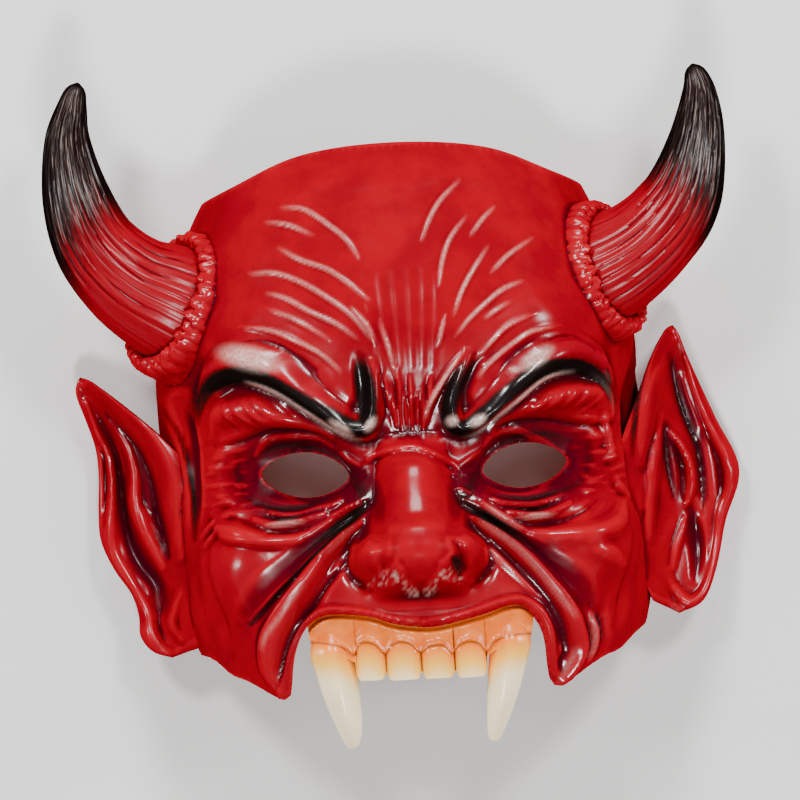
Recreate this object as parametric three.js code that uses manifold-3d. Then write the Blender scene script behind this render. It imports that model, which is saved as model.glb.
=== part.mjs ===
// Devil half mask: one hollow rubber casting of face, horns and ears, and the moulded strip of
// upper teeth that is fixed behind its lip. Millimetres.
// It lies on its back rim. X is to the viewer's right, Y runs up towards the horns, and Z comes
// forward out of the face.
import * as THREE from 'three';
import { mergeVertices } from 'three/addons/utils/BufferGeometryUtils.js';
import Module from 'manifold-3d';

const wasm = await Module();
wasm.setup();

// Driving dimensions
const wall = 3.2; // rubber thickness of the face
const fitGap = 0.35; // between the teeth and the rubber behind the lip
const leastDetail = 0.12; // flatter steps than this are smoothed away after the joins and cuts
const faceRoundness = 2.3; // exponent of the face's cross-sections: 2 is an ellipse
const faceBottomY = -91;
const faceTopY = 84;
const faceColumns = 53;
const faceRows = 41;
const innerColumns = 25; // the back of the rubber is plainer
const innerRows = 18;
const lastColumnAngle = Math.PI / 2;
const centreCrowding = 0.64; // columns stand closer in the middle of the face

// How far the face reaches at each height, as [y, distance]
const leftHalfWidth = [[-96, 60], [-72, 72], [-40, 76], [0, 79], [20, 78], [45, 71], [70, 60], [92, 46]];
const rightHalfWidth = [[-96, 60], [-72, 71], [-40, 73], [0, 73], [20, 72], [45, 67], [70, 57], [92, 44]];
const frontReach = [[-96, 82], [-72, 89], [-55, 88], [-35, 84], [-15, 81], [5, 86], [25, 88], [45, 83],
  [65, 72], [80, 58], [92, 44]];

// Nose, as [y, height over the face] and [y, half width]
const noseHeight = [[-62, 0], [-58, 3], [-54, 16], [-48, 24], [-40, 22], [-30, 16], [-20, 11], [-13, 6],
  [-8, 0]];
const noseHalfWidth = [[-62, 19], [-52, 19], [-46, 19], [-38, 16], [-28, 13], [-18, 11], [-8, 10]];

// Eye holes: middle, half length, half height and turn
const eyeHoles = [
  { x: -33, y: -19, halfLength: 15, halfHeight: 7.5, turn: -0.08 },
  { x: 34, y: -20.5, halfLength: 14, halfHeight: 7.5, turn: 0.05 },
];

// Horns: the middle line from the root to the tip, with the diameter at each point
const leftHorn = [
  { x: -60, y: 31, z: 34, wide: 36 },
  { x: -70, y: 36, z: 40, wide: 37 },
  { x: -83, y: 44, z: 44, wide: 31 },
  { x: -93, y: 56, z: 47, wide: 26 },
  { x: -98, y: 72, z: 48, wide: 21 },
  { x: -99.5, y: 88, z: 46, wide: 14.5 },
  { x: -97.5, y: 99, z: 44, wide: 9 },
  { x: -95.2, y: 106, z: 43, wide: 3 },
];
const rightHorn = [
  { x: 53, y: 36, z: 36, wide: 33 },
  { x: 63, y: 38, z: 41, wide: 34 },
  { x: 77, y: 46, z: 45, wide: 29 },
  { x: 88, y: 58, z: 47, wide: 25 },
  { x: 94, y: 75, z: 47, wide: 18 },
  { x: 96, y: 90, z: 45, wide: 11 },
  { x: 94.7, y: 99, z: 43, wide: 3 },
];
const hornSides = 22;
const hornRings = 17;
const hornGroove = 1.3; // depth of the grooves that run along each horn

// Beaded collar round the root of each horn
const collarPlace = 0.13; // share of the horn's length
const collarThickness = 9;
const collarStandOff = 1.2;
const collarBeads = 12;

// Ears: the edge next to the head and the free edge, from the lobe to the tip, as [x, y, z]
const leftEar = {
  inner: [[-70, -71, 27], [-70, -58, 31], [-68, -42, 38], [-64, -26, 44], [-68, -16, 42], [-77, -5, 34],
    [-90, 7, 24], [-101, 16, 15]],
  outer: [[-78, -74, 24], [-87, -68, 20], [-89, -57, 16], [-97, -43, 12], [-99, -29, 10], [-98, -12, 10],
    [-103, 5, 11], [-103.5, 15, 13]],
};
const rightEar = {
  inner: [[72, -66, 27], [68, -55, 32], [67, -43, 37], [64, -30, 43], [64, -18, 43], [71, -2, 37],
    [77, 11, 27], [83, 20, 18]],
  outer: [[80, -70.5, 24], [88, -67, 20], [93, -57, 15], [97, -43, 11], [102.5, -27, 9], [96, -10, 10],
    [89, 8, 13], [85.5, 19, 16]],
};
const earRootThickness = 9;
const earEdgeThickness = 4.5;
const earHollow = 7; // depth of the bowl between the ear's edges
const earColumns = 9;
const earRows = 18;

// Teeth
const gumTopY = -54;
const gumBottomY = -71;
const gumThickness = 6;
const gumEnds = [-34.5, 33.5];
const gumProud = 0.8; // in front of the rubber's inner face, where the gum shows below the lip
const incisors = [
  { x: -16.7, wide: 10.2 }, { x: -6.8, wide: 10.6 }, { x: 3.6, wide: 10.4 }, { x: 13.2, wide: 9.8 },
];
const incisorBottomY = -82.5;
const incisorThickness = 5.5;
const fangs = [
  [{ x: -27.6, y: -64, wide: 9 }, { x: -27.5, y: -74, wide: 12 }, { x: -26, y: -87, wide: 10.3 },
    { x: -24.8, y: -96, wide: 7.5 }, { x: -24, y: -102, wide: 4.5 }],
  [{ x: 25.6, y: -64, wide: 9 }, { x: 25.4, y: -74, wide: 11.5 }, { x: 23.5, y: -87, wide: 10 },
    { x: 20.6, y: -96, wide: 7.2 }, { x: 18.8, y: -102, wide: 4 }],
];
const fangBow = 3; // how far the middle of a fang stands forward

// Smooth value through [x, value] stations in rising order of x.
function through(stations, x) {
  const last = stations.length - 1;
  if (x <= stations[0][0]) return stations[0][1];
  if (x >= stations[last][0]) return stations[last][1];
  let i = 0;
  while (x > stations[i + 1][0]) i += 1;
  const slope = (k) => {
    const a = stations[Math.max(0, k - 1)];
    const b = stations[Math.min(last, k + 1)];
    return (b[1] - a[1]) / (b[0] - a[0]);
  };
  const step = stations[i + 1][0] - stations[i][0];
  const t = (x - stations[i][0]) / step;
  return (2 * t ** 3 - 3 * t ** 2 + 1) * stations[i][1]
    + (t ** 3 - 2 * t ** 2 + t) * step * slope(i)
    + (3 * t ** 2 - 2 * t ** 3) * stations[i + 1][1]
    + (t ** 3 - t ** 2) * step * slope(i + 1);
}

// A smooth line through corners drawn on the front of the face or in space
function curveThrough(corners, closed = false) {
  const places = corners.map(([x, y, z = 0]) => new THREE.Vector3(x, y, z));
  return new THREE.CatmullRomCurve3(places, closed, 'centripetal');
}

// A raised fold along a line on the front of the face, or a groove with a height below zero
function fold(path, reach, height) {
  const line = curveThrough(path).getPoints(8 * path.length);
  const last = line.length - 1;
  return (x, y) => {
    let nearest = reach * reach;
    let share = -1;
    for (let i = 0; i < last; i += 1) {
      const dx = line[i + 1].x - line[i].x;
      const dy = line[i + 1].y - line[i].y;
      const along = ((x - line[i].x) * dx + (y - line[i].y) * dy) / (dx * dx + dy * dy);
      const t = Math.min(1, Math.max(0, along));
      const gap = (line[i].x + t * dx - x) ** 2 + (line[i].y + t * dy - y) ** 2;
      if (gap < nearest) {
        nearest = gap;
        share = (i + t) / last;
      }
    }
    if (share < 0) return 0;
    const fade = Math.min(1, 6 * share + 0.25, 6 * (1 - share) + 0.25);
    return height * fade * (1 - nearest / (reach * reach)) ** 2;
  };
}

// A rounded swelling, or a hollow with a height below zero.
function pad(x0, y0, halfLength, halfHeight, height, turn = 0) {
  return (x, y) => {
    const along = (Math.cos(turn) * (x - x0) + Math.sin(turn) * (y - y0)) / halfLength;
    const across = (Math.cos(turn) * (y - y0) - Math.sin(turn) * (x - x0)) / halfHeight;
    return height * Math.max(0, 1 - along ** 2 - across ** 2) ** 2;
  };
}

function nose(x, y) {
  const across = x / through(noseHalfWidth, y);
  return through(noseHeight, y) * Math.max(0, 1 - across ** 2) ** 1.3;
}

const muzzle = pad(-1, -64, 34, 17, 5);

// The face's main forms
const mainForms = [
  nose,
  muzzle,
  pad(0, 40, 30, 40, 2), // middle of the forehead
];
const sides = [-1, 1];
for (const side of sides) {
  mainForms.push(pad(35 * side, -16.5, 27, 17, -11)); // eye socket
  mainForms.push(pad(15 * side, -46, 9, 8, 7)); // wing of the nose
  mainForms.push(pad(55 * side, -46, 17, 20, 6)); // cheek
  mainForms.push(pad(41 * side, 24, 26, 16, 3)); // forehead over the brow
  mainForms.push(pad(66 * side, 2, 9, 22, -3)); // temple
}

// Brows, folds and wrinkles: the two halves of the face were modelled by hand and differ a little
const foldForms = [
  // Brows, each with a hook that turns up beside the nose and holds a bulge
  fold([[-60, 9], [-50, 16], [-36, 9], [-22, -3], [-13, -6], [-10, 4], [-12, 15]], 7.5, 7),
  fold([[62, 5], [50, 13], [36, 7], [24, -4], [14, -8], [12, 3], [18, 14]], 7.5, 7),
  pad(-23, 8, 11, 11, 4),
  pad(24, 7, 10, 10, 4),
  // Upper lids
  fold([[-62, -6], [-52, 5], [-40, 2], [-30, -5]], 5, 3.5),
  fold([[62, -8], [54, 1], [42, -1], [30, -7]], 5, 3.5),
  // Bags under the eyes
  fold([[-48, -26], [-36, -31], [-22, -27]], 4.5, 3.5),
  fold([[48, -27], [38, -34], [24, -29]], 4.5, 3.5),
  // Grooves from the nose across the cheeks
  fold([[-15, -30], [-25, -35], [-34, -42], [-44, -52], [-52, -59]], 5, -2.4),
  fold([[15, -31], [24, -36], [34, -43], [44, -52], [53, -62]], 5, -2.4),
  // Folds that run down round the corners of the mouth, with a groove inside each
  fold([[-17, -36], [-27, -43], [-37, -53], [-47, -64], [-49, -74], [-43, -87]], 5.5, 5),
  fold([[19, -36], [29, -44], [38, -55], [46, -67], [46, -77], [40, -88]], 5.5, 5),
  fold([[-24, -47], [-31, -54], [-38, -62], [-43, -70]], 5, -2),
  fold([[22, -46], [29, -53], [35, -60], [40, -69]], 5, -2),
  // Rolled lip
  fold([[-42, -84], [-40, -73], [-33, -65], [-20, -61], [0, -64]], 5, 3.5),
  fold([[0, -64], [20, -61], [32, -64], [38, -72], [38, -84]], 5, 3.5),
  // Tops of the cheeks
  fold([[-18, -31], [-28, -36], [-40, -40], [-54, -36]], 4.5, 2.5),
  fold([[16, -31], [26, -38], [38, -42], [52, -40]], 4.5, 2.5),
  // Frown lines over the nose
  fold([[-4, -8], [-4, 14]], 3.5, 2),
  fold([[4, -8], [4, 14]], 3.5, 2),
];

// Wrinkles that sweep up and out over each half of the forehead
const wrinkleCount = 5;
const wrinkleStep = 9;
for (let i = 0; i < wrinkleCount; i += 1) {
  const drop = i * wrinkleStep;
  foldForms.push(fold([[-42, 60 - drop], [-27, 55 - drop], [-12, 42 - drop]], 4, 2.6));
  foldForms.push(fold([[10, 38 - drop], [20, 52 - drop], [38, 61 - drop]], 4, 2.6));
}

// Point on the smooth face. The angle runs from the left side, over the front, to the right side.
function facePoint(angle, y) {
  const halfWidth = through(angle < 0 ? leftHalfWidth : rightHalfWidth, y);
  const front = through(frontReach, y);
  const sideways = Math.abs(Math.sin(angle) / halfWidth) ** faceRoundness;
  const forward = Math.abs(Math.cos(angle) / front) ** faceRoundness;
  const reach = (sideways + forward) ** (-1 / faceRoundness);
  return new THREE.Vector3(reach * Math.sin(angle), y, reach * Math.cos(angle));
}

function faceNormal(angle, y) {
  const step = 0.01;
  const across = facePoint(angle + step, y).sub(facePoint(angle - step, y));
  const up = facePoint(angle, y + 1).sub(facePoint(angle, y - 1));
  return across.cross(up).normalize();
}

// The face's skin: the smooth face raised by its forms, and moved in by the depth.
function skinPoint(angle, y, forms, depth) {
  const point = facePoint(angle, y);
  const height = forms.reduce((sum, form) => sum + form(point.x, point.y), 0);
  return point.addScaledVector(faceNormal(angle, y), height - depth);
}

// How far forward the smooth face stands at a place on its front.
function faceDepth(x, y) {
  const halfWidth = through(x < 0 ? leftHalfWidth : rightHalfWidth, y);
  const share = 1 - Math.abs(x / halfWidth) ** faceRoundness;
  return through(frontReach, y) * Math.max(0, share) ** (1 / faceRoundness);
}

function solidOf(geometry) {
  geometry.deleteAttribute('normal');
  geometry.deleteAttribute('uv');
  const merged = mergeVertices(geometry, 1e-4);
  return new wasm.Manifold(new wasm.Mesh({
    numProp: 3,
    vertProperties: new Float32Array(merged.attributes.position.array),
    triVerts: new Uint32Array(merged.index.array),
  }));
}

function solidFromLists(vertices, triangles) {
  return new wasm.Manifold(new wasm.Mesh({
    numProp: 3,
    vertProperties: new Float32Array(vertices.flatMap((v) => [v.x, v.y, v.z])),
    triVerts: new Uint32Array(triangles.flat()),
  }));
}

// Closed solid between two grids of the same size, one in front of the other. Each cell in front is
// split along the diagonal that lies closer to the surface, so that ridges stay whole.
function solidBetween(columns, rows, frontAt, backAt) {
  const vertices = [];
  const triangles = [];
  const layer = (columns + 1) * (rows + 1);
  for (const pointAt of [frontAt, backAt]) {
    for (let j = 0; j <= rows; j += 1) {
      for (let i = 0; i <= columns; i += 1) vertices.push(pointAt(i / columns, j / rows));
    }
  }
  const index = (i, j) => j * (columns + 1) + i;
  const quad = (a, b, c, d) => triangles.push([a, b, c], [a, c, d]);
  for (let j = 0; j < rows; j += 1) {
    for (let i = 0; i < columns; i += 1) {
      const [a, b, c, d] = [index(i, j), index(i + 1, j), index(i + 1, j + 1), index(i, j + 1)];
      const centre = frontAt((i + 0.5) / columns, (j + 0.5) / rows);
      const miss = (p, q) => vertices[p].clone().lerp(vertices[q], 0.5).distanceTo(centre);
      if (miss(a, c) < miss(b, d)) quad(a, b, c, d);
      else quad(b, c, d, a);
      quad(layer + a, layer + d, layer + c, layer + b);
    }
  }
  for (let i = 0; i < columns; i += 1) {
    quad(index(i + 1, 0), index(i, 0), layer + index(i, 0), layer + index(i + 1, 0));
    quad(index(i, rows), index(i + 1, rows), layer + index(i + 1, rows), layer + index(i, rows));
  }
  for (let j = 0; j < rows; j += 1) {
    quad(index(0, j), index(0, j + 1), layer + index(0, j + 1), layer + index(0, j));
    quad(index(columns, j + 1), index(columns, j), layer + index(columns, j), layer + index(columns, j + 1));
  }
  return solidFromLists(vertices, triangles);
}

// Solid under the face's skin, down to a flat floor below the rim.
function faceSolid(columns, rows, forms, depth, floor) {
  const angleAt = (u) => {
    const side = 2 * u - 1;
    return lastColumnAngle * side * (centreCrowding + (1 - centreCrowding) * side ** 2);
  };
  const yAt = (v) => faceBottomY + v * (faceTopY - faceBottomY);
  const front = (u, v) => skinPoint(angleAt(u), yAt(v), forms, depth);
  const back = (u, v) => {
    const left = facePoint(-lastColumnAngle, yAt(v)).x + depth;
    const right = facePoint(lastColumnAngle, yAt(v)).x - depth;
    return new THREE.Vector3(left + u * (right - left), yAt(v), floor);
  };
  return solidBetween(columns, rows, front, back);
}

// Prism from an outline drawn in two of the axes.
function prism(outline, from, to, alongX = false) {
  const shape = new THREE.Shape(outline);
  const geometry = new THREE.ExtrudeGeometry(shape, { depth: to - from, bevelEnabled: false, steps: 1 });
  geometry.translate(0, 0, from);
  if (alongX) {
    const turn = new THREE.Matrix4().makeBasis(
      new THREE.Vector3(0, 1, 0), new THREE.Vector3(0, 0, 1), new THREE.Vector3(1, 0, 0));
    geometry.applyMatrix4(turn);
  }
  return solidOf(geometry);
}

function smoothOutline(points, perPoint) {
  const line = curveThrough(points, true).getPoints(perPoint * points.length);
  return line.slice(0, -1).map((p) => new THREE.Vector2(p.x, p.y));
}

// Two directions square to a line's direction: one level, one forward
function squareTo(along) {
  const across = new THREE.Vector3().crossVectors(along, new THREE.Vector3(0, 0, 1)).normalize();
  return { across, forward: new THREE.Vector3().crossVectors(across, along) };
}

// Tapered body swept along a line of points, each with its own width
function sweep(points, sides, rings, shapeAt, flatness = 1) {
  const line = curveThrough(points.map((p) => [p.x, p.y, p.z]));
  const widths = points.map((p, i) => [i / (points.length - 1), p.wide]);
  const vertices = [];
  const triangles = [];
  for (let j = 0; j <= rings; j += 1) {
    const t = j / rings;
    const middle = line.getPoint(t);
    const { across, forward } = squareTo(line.getTangent(t));
    const radius = through(widths, t) / 2;
    for (let i = 0; i < sides; i += 1) {
      const turn = (2 * Math.PI * i) / sides;
      const reach = radius + shapeAt(i, t);
      vertices.push(middle.clone()
        .addScaledVector(across, reach * Math.cos(turn))
        .addScaledVector(forward, flatness * reach * Math.sin(turn)));
    }
  }
  const root = vertices.push(line.getPoint(0)) - 1;
  const tip = vertices.push(line.getPoint(1)) - 1;
  for (let i = 0; i < sides; i += 1) {
    const next = (i + 1) % sides;
    for (let j = 0; j < rings; j += 1) {
      const [a, b] = [j * sides + i, j * sides + next];
      triangles.push([a, a + sides, b + sides], [a, b + sides, b]);
    }
    triangles.push([root, i, next], [tip, rings * sides + next, rings * sides + i]);
  }
  return solidFromLists(vertices, triangles);
}

// Horn with a groove at every second side, fading towards the tip.
function horn(points) {
  const groove = (side, t) => (side % 2 ? -hornGroove * (1 - t) : 0);
  return sweep(points, hornSides, hornRings, groove);
}

// Ring of beads round the root of a horn.
function collar(points) {
  const line = curveThrough(points.map((p) => [p.x, p.y, p.z]));
  const middle = line.getPoint(collarPlace);
  const along = line.getTangent(collarPlace);
  const { across, forward } = squareTo(along);
  const ringRadius = points[1].wide / 2 + collarStandOff;
  const steps = 3 * collarBeads;
  const ringSides = 6;
  const vertices = [];
  const triangles = [];
  for (let j = 0; j < steps; j += 1) {
    const turn = (2 * Math.PI * j) / steps;
    const outward = across.clone().multiplyScalar(Math.cos(turn)).addScaledVector(forward, Math.sin(turn));
    const swell = (j % 3 ? 1 : 0.8) * (collarThickness / 2);
    for (let i = 0; i < ringSides; i += 1) {
      const round = (2 * Math.PI * i) / ringSides;
      vertices.push(middle.clone()
        .addScaledVector(outward, ringRadius + swell * Math.cos(round))
        .addScaledVector(along, swell * Math.sin(round)));
    }
  }
  for (let j = 0; j < steps; j += 1) {
    for (let i = 0; i < ringSides; i += 1) {
      const next = (i + 1) % ringSides;
      const [a, b] = [j * ringSides + i, j * ringSides + next];
      const [c, d] = [((j + 1) % steps) * ringSides + i, ((j + 1) % steps) * ringSides + next];
      triangles.push([a, b, d], [a, d, c]);
    }
  }
  return solidFromLists(vertices, triangles);
}

// Ear: a bowl between its two edges, thick at the head and thin at the free edge.
function ear(edges, forms) {
  const inner = curveThrough(edges.inner);
  const outer = curveThrough(edges.outer);
  const right = edges.outer[0][0] > 0;
  const place = (u, v) => {
    const s = right ? u : 1 - u;
    const narrow = Math.sin(Math.PI * Math.min(1, 0.08 + v * 0.84));
    const point = inner.getPoint(v).lerp(outer.getPoint(v), s);
    return { s, narrow, point };
  };
  const front = (u, v) => {
    const { s, narrow, point } = place(u, v);
    point.z += forms.reduce((sum, form) => sum + form(point.x, point.y), 0);
    point.z -= earHollow * narrow * Math.sin(Math.PI * s) ** 1.5;
    return point;
  };
  const back = (u, v) => {
    const { s, narrow, point } = place(u, v);
    point.z -= THREE.MathUtils.lerp(earRootThickness, earEdgeThickness, s);
    point.z -= 0.6 * earHollow * narrow * Math.sin(Math.PI * s) ** 1.5;
    return point;
  };
  return solidBetween(earColumns, earRows, front, back);
}

const leftEarForms = [
  fold([[-69, -45], [-70, -28], [-74, -14], [-85, 0], [-99, 12]], 7, 3.5), // broad front rim
  fold([[-86, -70], [-91, -52], [-97, -36], [-96, -15], [-101, 6]], 4, 2.5), // thin back rim
  fold([[-79, -40], [-87, -27], [-92, -14]], 4.5, 4), // ridge in the bowl
  pad(-80, -68, 8, 8, 3), // lobe
];
const rightEarForms = [
  fold([[70, -45], [68, -26], [74, 0], [82, 16]], 6, 3.5),
  fold([[89, -64], [95, -48], [100, -30], [93, -8], [86, 12]], 4.5, 2.5),
  fold([[79, -48], [82, -30], [80, -12]], 4, 4),
  fold([[89, -42], [89, -25], [84, -6]], 3.5, 3),
  pad(82, -66, 8, 8, 3),
];

// Outline of the face seen from the front: the top rim, the cheeks and the arch over the mouth
const frontOutline = smoothOutline([
  [0, 81], [28, 78], [48, 70], [66, 62], [84, 50], [84, 0], [84, -55], [74, -69], [65, -72], [58, -78],
  [50, -83], [40, -88], [38, -80], [37, -70], [29, -63], [18, -64], [0, -67], [-18, -63.5], [-30, -62.5],
  [-39, -68], [-42, -80], [-44, -87], [-52, -82], [-61, -77], [-66, -72], [-76, -71], [-88, -55], [-88, 0],
  [-88, 50], [-70, 63], [-50, 71], [-28, 79],
], 3);

// Rim seen from the side, as [y, z]: flat where the mask lies, rising to the top and to the cheeks
const restFromY = -40;
const restToY = 46;
const sideOutline = [
  [restFromY, 0], [restToY, 0], [58, 5], [68, 18], [76, 34], [82, 50], [96, 60], [96, 140], [-100, 140],
  [-100, 56], [-84, 38], [-72, 24], [-60, 11], [-50, 3],
].map(([y, z]) => new THREE.Vector2(y, z));

function almond({ x, y, halfLength, halfHeight, turn }) {
  const points = [];
  const count = 20;
  for (let i = 0; i < count; i += 1) {
    const angle = (2 * Math.PI * i) / count;
    const along = halfLength * Math.cos(angle);
    const across = halfHeight * Math.sin(angle) * (0.65 + 0.35 * Math.abs(Math.sin(angle)));
    points.push(new THREE.Vector2(
      x + along * Math.cos(turn) - across * Math.sin(turn),
      y + along * Math.sin(turn) + across * Math.cos(turn)));
  }
  return points;
}

// The rubber casting
function castMask() {
  const outer = faceSolid(faceColumns, faceRows, [...mainForms, ...foldForms], 0, -8);
  const inner = faceSolid(innerColumns, innerRows, mainForms, wall, -9);
  const aboveRim = prism(sideOutline, -130, 130, true);
  const face = outer.intersect(prism(frontOutline, -20, 150)).intersect(aboveRim);
  let cast = face;
  for (const points of [leftHorn, rightHorn]) cast = cast.add(horn(points)).add(collar(points));
  cast = cast.add(ear(leftEar, leftEarForms)).add(ear(rightEar, rightEarForms));
  cast = cast.subtract(inner);
  for (const hole of eyeHoles) cast = cast.subtract(prism(almond(hole), 20, 140));
  return cast.asOriginal().simplify(leastDetail);
}

// Front of the gum and teeth at a place across the mouth
function gumFront(x) {
  const y = -60;
  return faceDepth(x, y) + muzzle(x, y) - wall + gumProud;
}

function gum() {
  const xAt = (u) => gumEnds[0] + u * (gumEnds[1] - gumEnds[0]);
  const bottomAt = (x) => gumBottomY - 1.5 * Math.abs(Math.cos((Math.PI * (x + 1.7)) / 10));
  const surface = (u, v, back) => {
    const x = xAt(u);
    const y = bottomAt(x) + v * (gumTopY - bottomAt(x));
    return new THREE.Vector3(x, y, gumFront(x) + 1.2 * Math.sin(Math.PI * v) - back);
  };
  return solidBetween(28, 4, (u, v) => surface(u, v, 0), (u, v) => surface(u, v, gumThickness));
}

function incisor({ x, wide }) {
  const z = gumFront(x) - incisorThickness / 2 + 0.4;
  const points = [
    { x, y: -62, z, wide: wide * 0.75 }, { x, y: -70, z, wide }, { x, y: incisorBottomY + 2, z, wide },
    { x, y: incisorBottomY, z, wide: wide * 0.85 },
  ];
  return sweep(points, 10, 5, () => 0, incisorThickness / wide);
}

function fang(points) {
  const last = points.length - 1;
  const placed = points.map((p, i) => ({
    ...p, z: gumFront(points[0].x) - 4 + fangBow * Math.sin((Math.PI * i) / last),
  }));
  return sweep(placed, 12, 9, () => 0, 0.85);
}

// Gum, incisors and fangs moulded in one
function mouldTeeth() {
  let teeth = gum();
  for (const one of incisors) teeth = teeth.add(incisor(one));
  for (const one of fangs) teeth = teeth.add(fang(one));
  const rubberAtLip = faceWall(fitGap);
  const directions = 8;
  for (let i = 0; i < directions; i += 1) {
    const turn = (2 * Math.PI * i) / directions;
    teeth = teeth.subtract(rubberAtLip.translate([fitGap * Math.cos(turn), fitGap * Math.sin(turn), 0]));
  }
  return largestBody(teeth).asOriginal().simplify(leastDetail / 2);
}

// The cuts can leave a loose sliver, which is dropped.
function largestBody(solid) {
  return solid.decompose().sort((a, b) => b.volume() - a.volume())[0];
}

// The face's wall within its front outline, thickened on both sides by the gap
function faceWall(gap) {
  const outer = faceSolid(faceColumns, faceRows, [...mainForms, ...foldForms], -gap, -8);
  const inner = faceSolid(innerColumns, innerRows, mainForms, wall + gap, -9);
  return outer.intersect(prism(frontOutline, -20, 150)).subtract(inner);
}

function meshOf(name, solid, material) {
  const { vertProperties, triVerts } = solid.getMesh();
  const geometry = new THREE.BufferGeometry();
  geometry.setAttribute('position', new THREE.BufferAttribute(new Float32Array(vertProperties), 3));
  geometry.setIndex(new THREE.BufferAttribute(new Uint32Array(triVerts), 1));
  geometry.computeVertexNormals();
  const mesh = new THREE.Mesh(geometry, material);
  mesh.name = name;
  return mesh;
}

const rubber = new THREE.MeshStandardMaterial({ color: 0xc8161c, roughness: 0.3, metalness: 0 });
const enamel = new THREE.MeshStandardMaterial({ color: 0xf4e2bc, roughness: 0.3, metalness: 0 });

const mask = new THREE.Group();
mask.add(meshOf('latex_mask', castMask(), rubber));
mask.add(meshOf('upper_teeth', mouldTeeth(), enamel));

// The origin is under the middle of the mask, on the surface where it lies.
const box = new THREE.Box3().setFromObject(mask);
const middle = box.getCenter(new THREE.Vector3());
mask.position.set(-middle.x, -middle.y, -box.min.z);

export default mask;
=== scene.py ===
import math
import bpy
import mathutils
import numpy as np
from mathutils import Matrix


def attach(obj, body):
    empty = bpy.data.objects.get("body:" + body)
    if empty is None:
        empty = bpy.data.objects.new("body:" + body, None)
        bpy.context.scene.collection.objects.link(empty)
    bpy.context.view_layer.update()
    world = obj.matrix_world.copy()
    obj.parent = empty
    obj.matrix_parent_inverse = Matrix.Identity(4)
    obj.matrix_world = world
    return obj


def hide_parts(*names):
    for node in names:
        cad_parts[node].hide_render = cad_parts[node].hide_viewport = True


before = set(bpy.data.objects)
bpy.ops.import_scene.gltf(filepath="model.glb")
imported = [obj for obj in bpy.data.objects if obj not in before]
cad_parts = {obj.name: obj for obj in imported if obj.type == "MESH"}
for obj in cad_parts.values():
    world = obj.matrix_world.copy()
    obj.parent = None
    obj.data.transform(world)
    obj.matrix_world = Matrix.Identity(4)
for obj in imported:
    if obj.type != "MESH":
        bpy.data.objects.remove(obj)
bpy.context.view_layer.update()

millimetre = 0.001
maskShift = (2.5745, -1.8722)  # the part's origin is under the middle of its box


def deselectAll():
    if bpy.context.object and bpy.context.object.mode != "OBJECT":
        bpy.ops.object.mode_set(mode="OBJECT")
    bpy.ops.object.select_all(action="DESELECT")


def pick(piece):
    deselectAll()
    piece.select_set(True)
    bpy.context.view_layer.objects.active = piece


# Opens a piece in edit mode with all of it selected
def openAll(piece):
    pick(piece)
    bpy.ops.object.mode_set(mode="EDIT")
    bpy.ops.mesh.select_all(action="SELECT")


def extrudeAll(piece, move):
    openAll(piece)
    bpy.ops.mesh.extrude_region_move(TRANSFORM_OT_translate={"value": move})
    bpy.ops.object.mode_set(mode="OBJECT")


def turnOutward(piece):
    openAll(piece)
    bpy.ops.mesh.normals_make_consistent(inside=False)
    bpy.ops.object.mode_set(mode="OBJECT")
    return piece


def readPoints(piece):
    points = np.empty(len(piece.data.vertices) * 3)
    piece.data.vertices.foreach_get("co", points)
    return points.reshape(-1, 3)


def writePoints(piece, points):
    piece.data.vertices.foreach_set("co", np.ascontiguousarray(points, dtype=np.float64).ravel())
    piece.data.update()


def clamp(values):
    return np.clip(values, 0, 1)


# Smooth value through (place, value) stations
def through(stations, x):
    places, values = np.array(stations, float).T
    slopes = np.empty(len(places))
    slopes[1:-1] = (values[2:] - values[:-2]) / (places[2:] - places[:-2])
    slopes[0] = (values[1] - values[0]) / (places[1] - places[0])
    slopes[-1] = (values[-1] - values[-2]) / (places[-1] - places[-2])
    x = np.clip(np.asarray(x, float), places[0], places[-1])
    i = np.clip(np.searchsorted(places, x, side="right") - 1, 0, len(places) - 2)
    step = places[i + 1] - places[i]
    t = (x - places[i]) / step
    return ((2 * t**3 - 3 * t**2 + 1) * values[i] + (t**3 - 2 * t**2 + t) * step * slopes[i]
            + (3 * t**2 - 2 * t**3) * values[i + 1] + (t**3 - t**2) * step * slopes[i + 1])


# Points along a smooth line through corners, evenly spread
def smoothLine(corners, steps, closed=False, stepsBetween=16):
    corners = [np.array(c, float) for c in corners]
    if closed:
        ends = [corners[-1]] + corners + corners[:2]
    else:
        ends = [2 * corners[0] - corners[1]] + corners + [2 * corners[-1] - corners[-2]]
    dense = []
    for k in range(1, len(ends) - 2):
        a, b, c, d = ends[k - 1:k + 3]
        for t in np.linspace(0, 1, stepsBetween, endpoint=False):
            dense.append(0.5 * (2 * b + (c - a) * t + (2 * a - 5 * b + 4 * c - d) * t**2
                                + (3 * b - a - 3 * c + d) * t**3))
    dense = np.array(dense + [ends[-2]])
    run = np.concatenate([[0], np.cumsum(np.linalg.norm(np.diff(dense, axis=0), axis=1))])
    wanted = np.linspace(0, run[-1], steps + 1)
    return np.stack([np.interp(wanted, run, dense[:, k]) for k in range(dense.shape[1])], axis=1)


# Corners in full: a corner that leaves out its last values has those of the corner before
def inFull(corners):
    full = [corners[0]]
    for corner in corners[1:]:
        full.append((*corner, *full[-1][len(corner):]))
    return full


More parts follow.
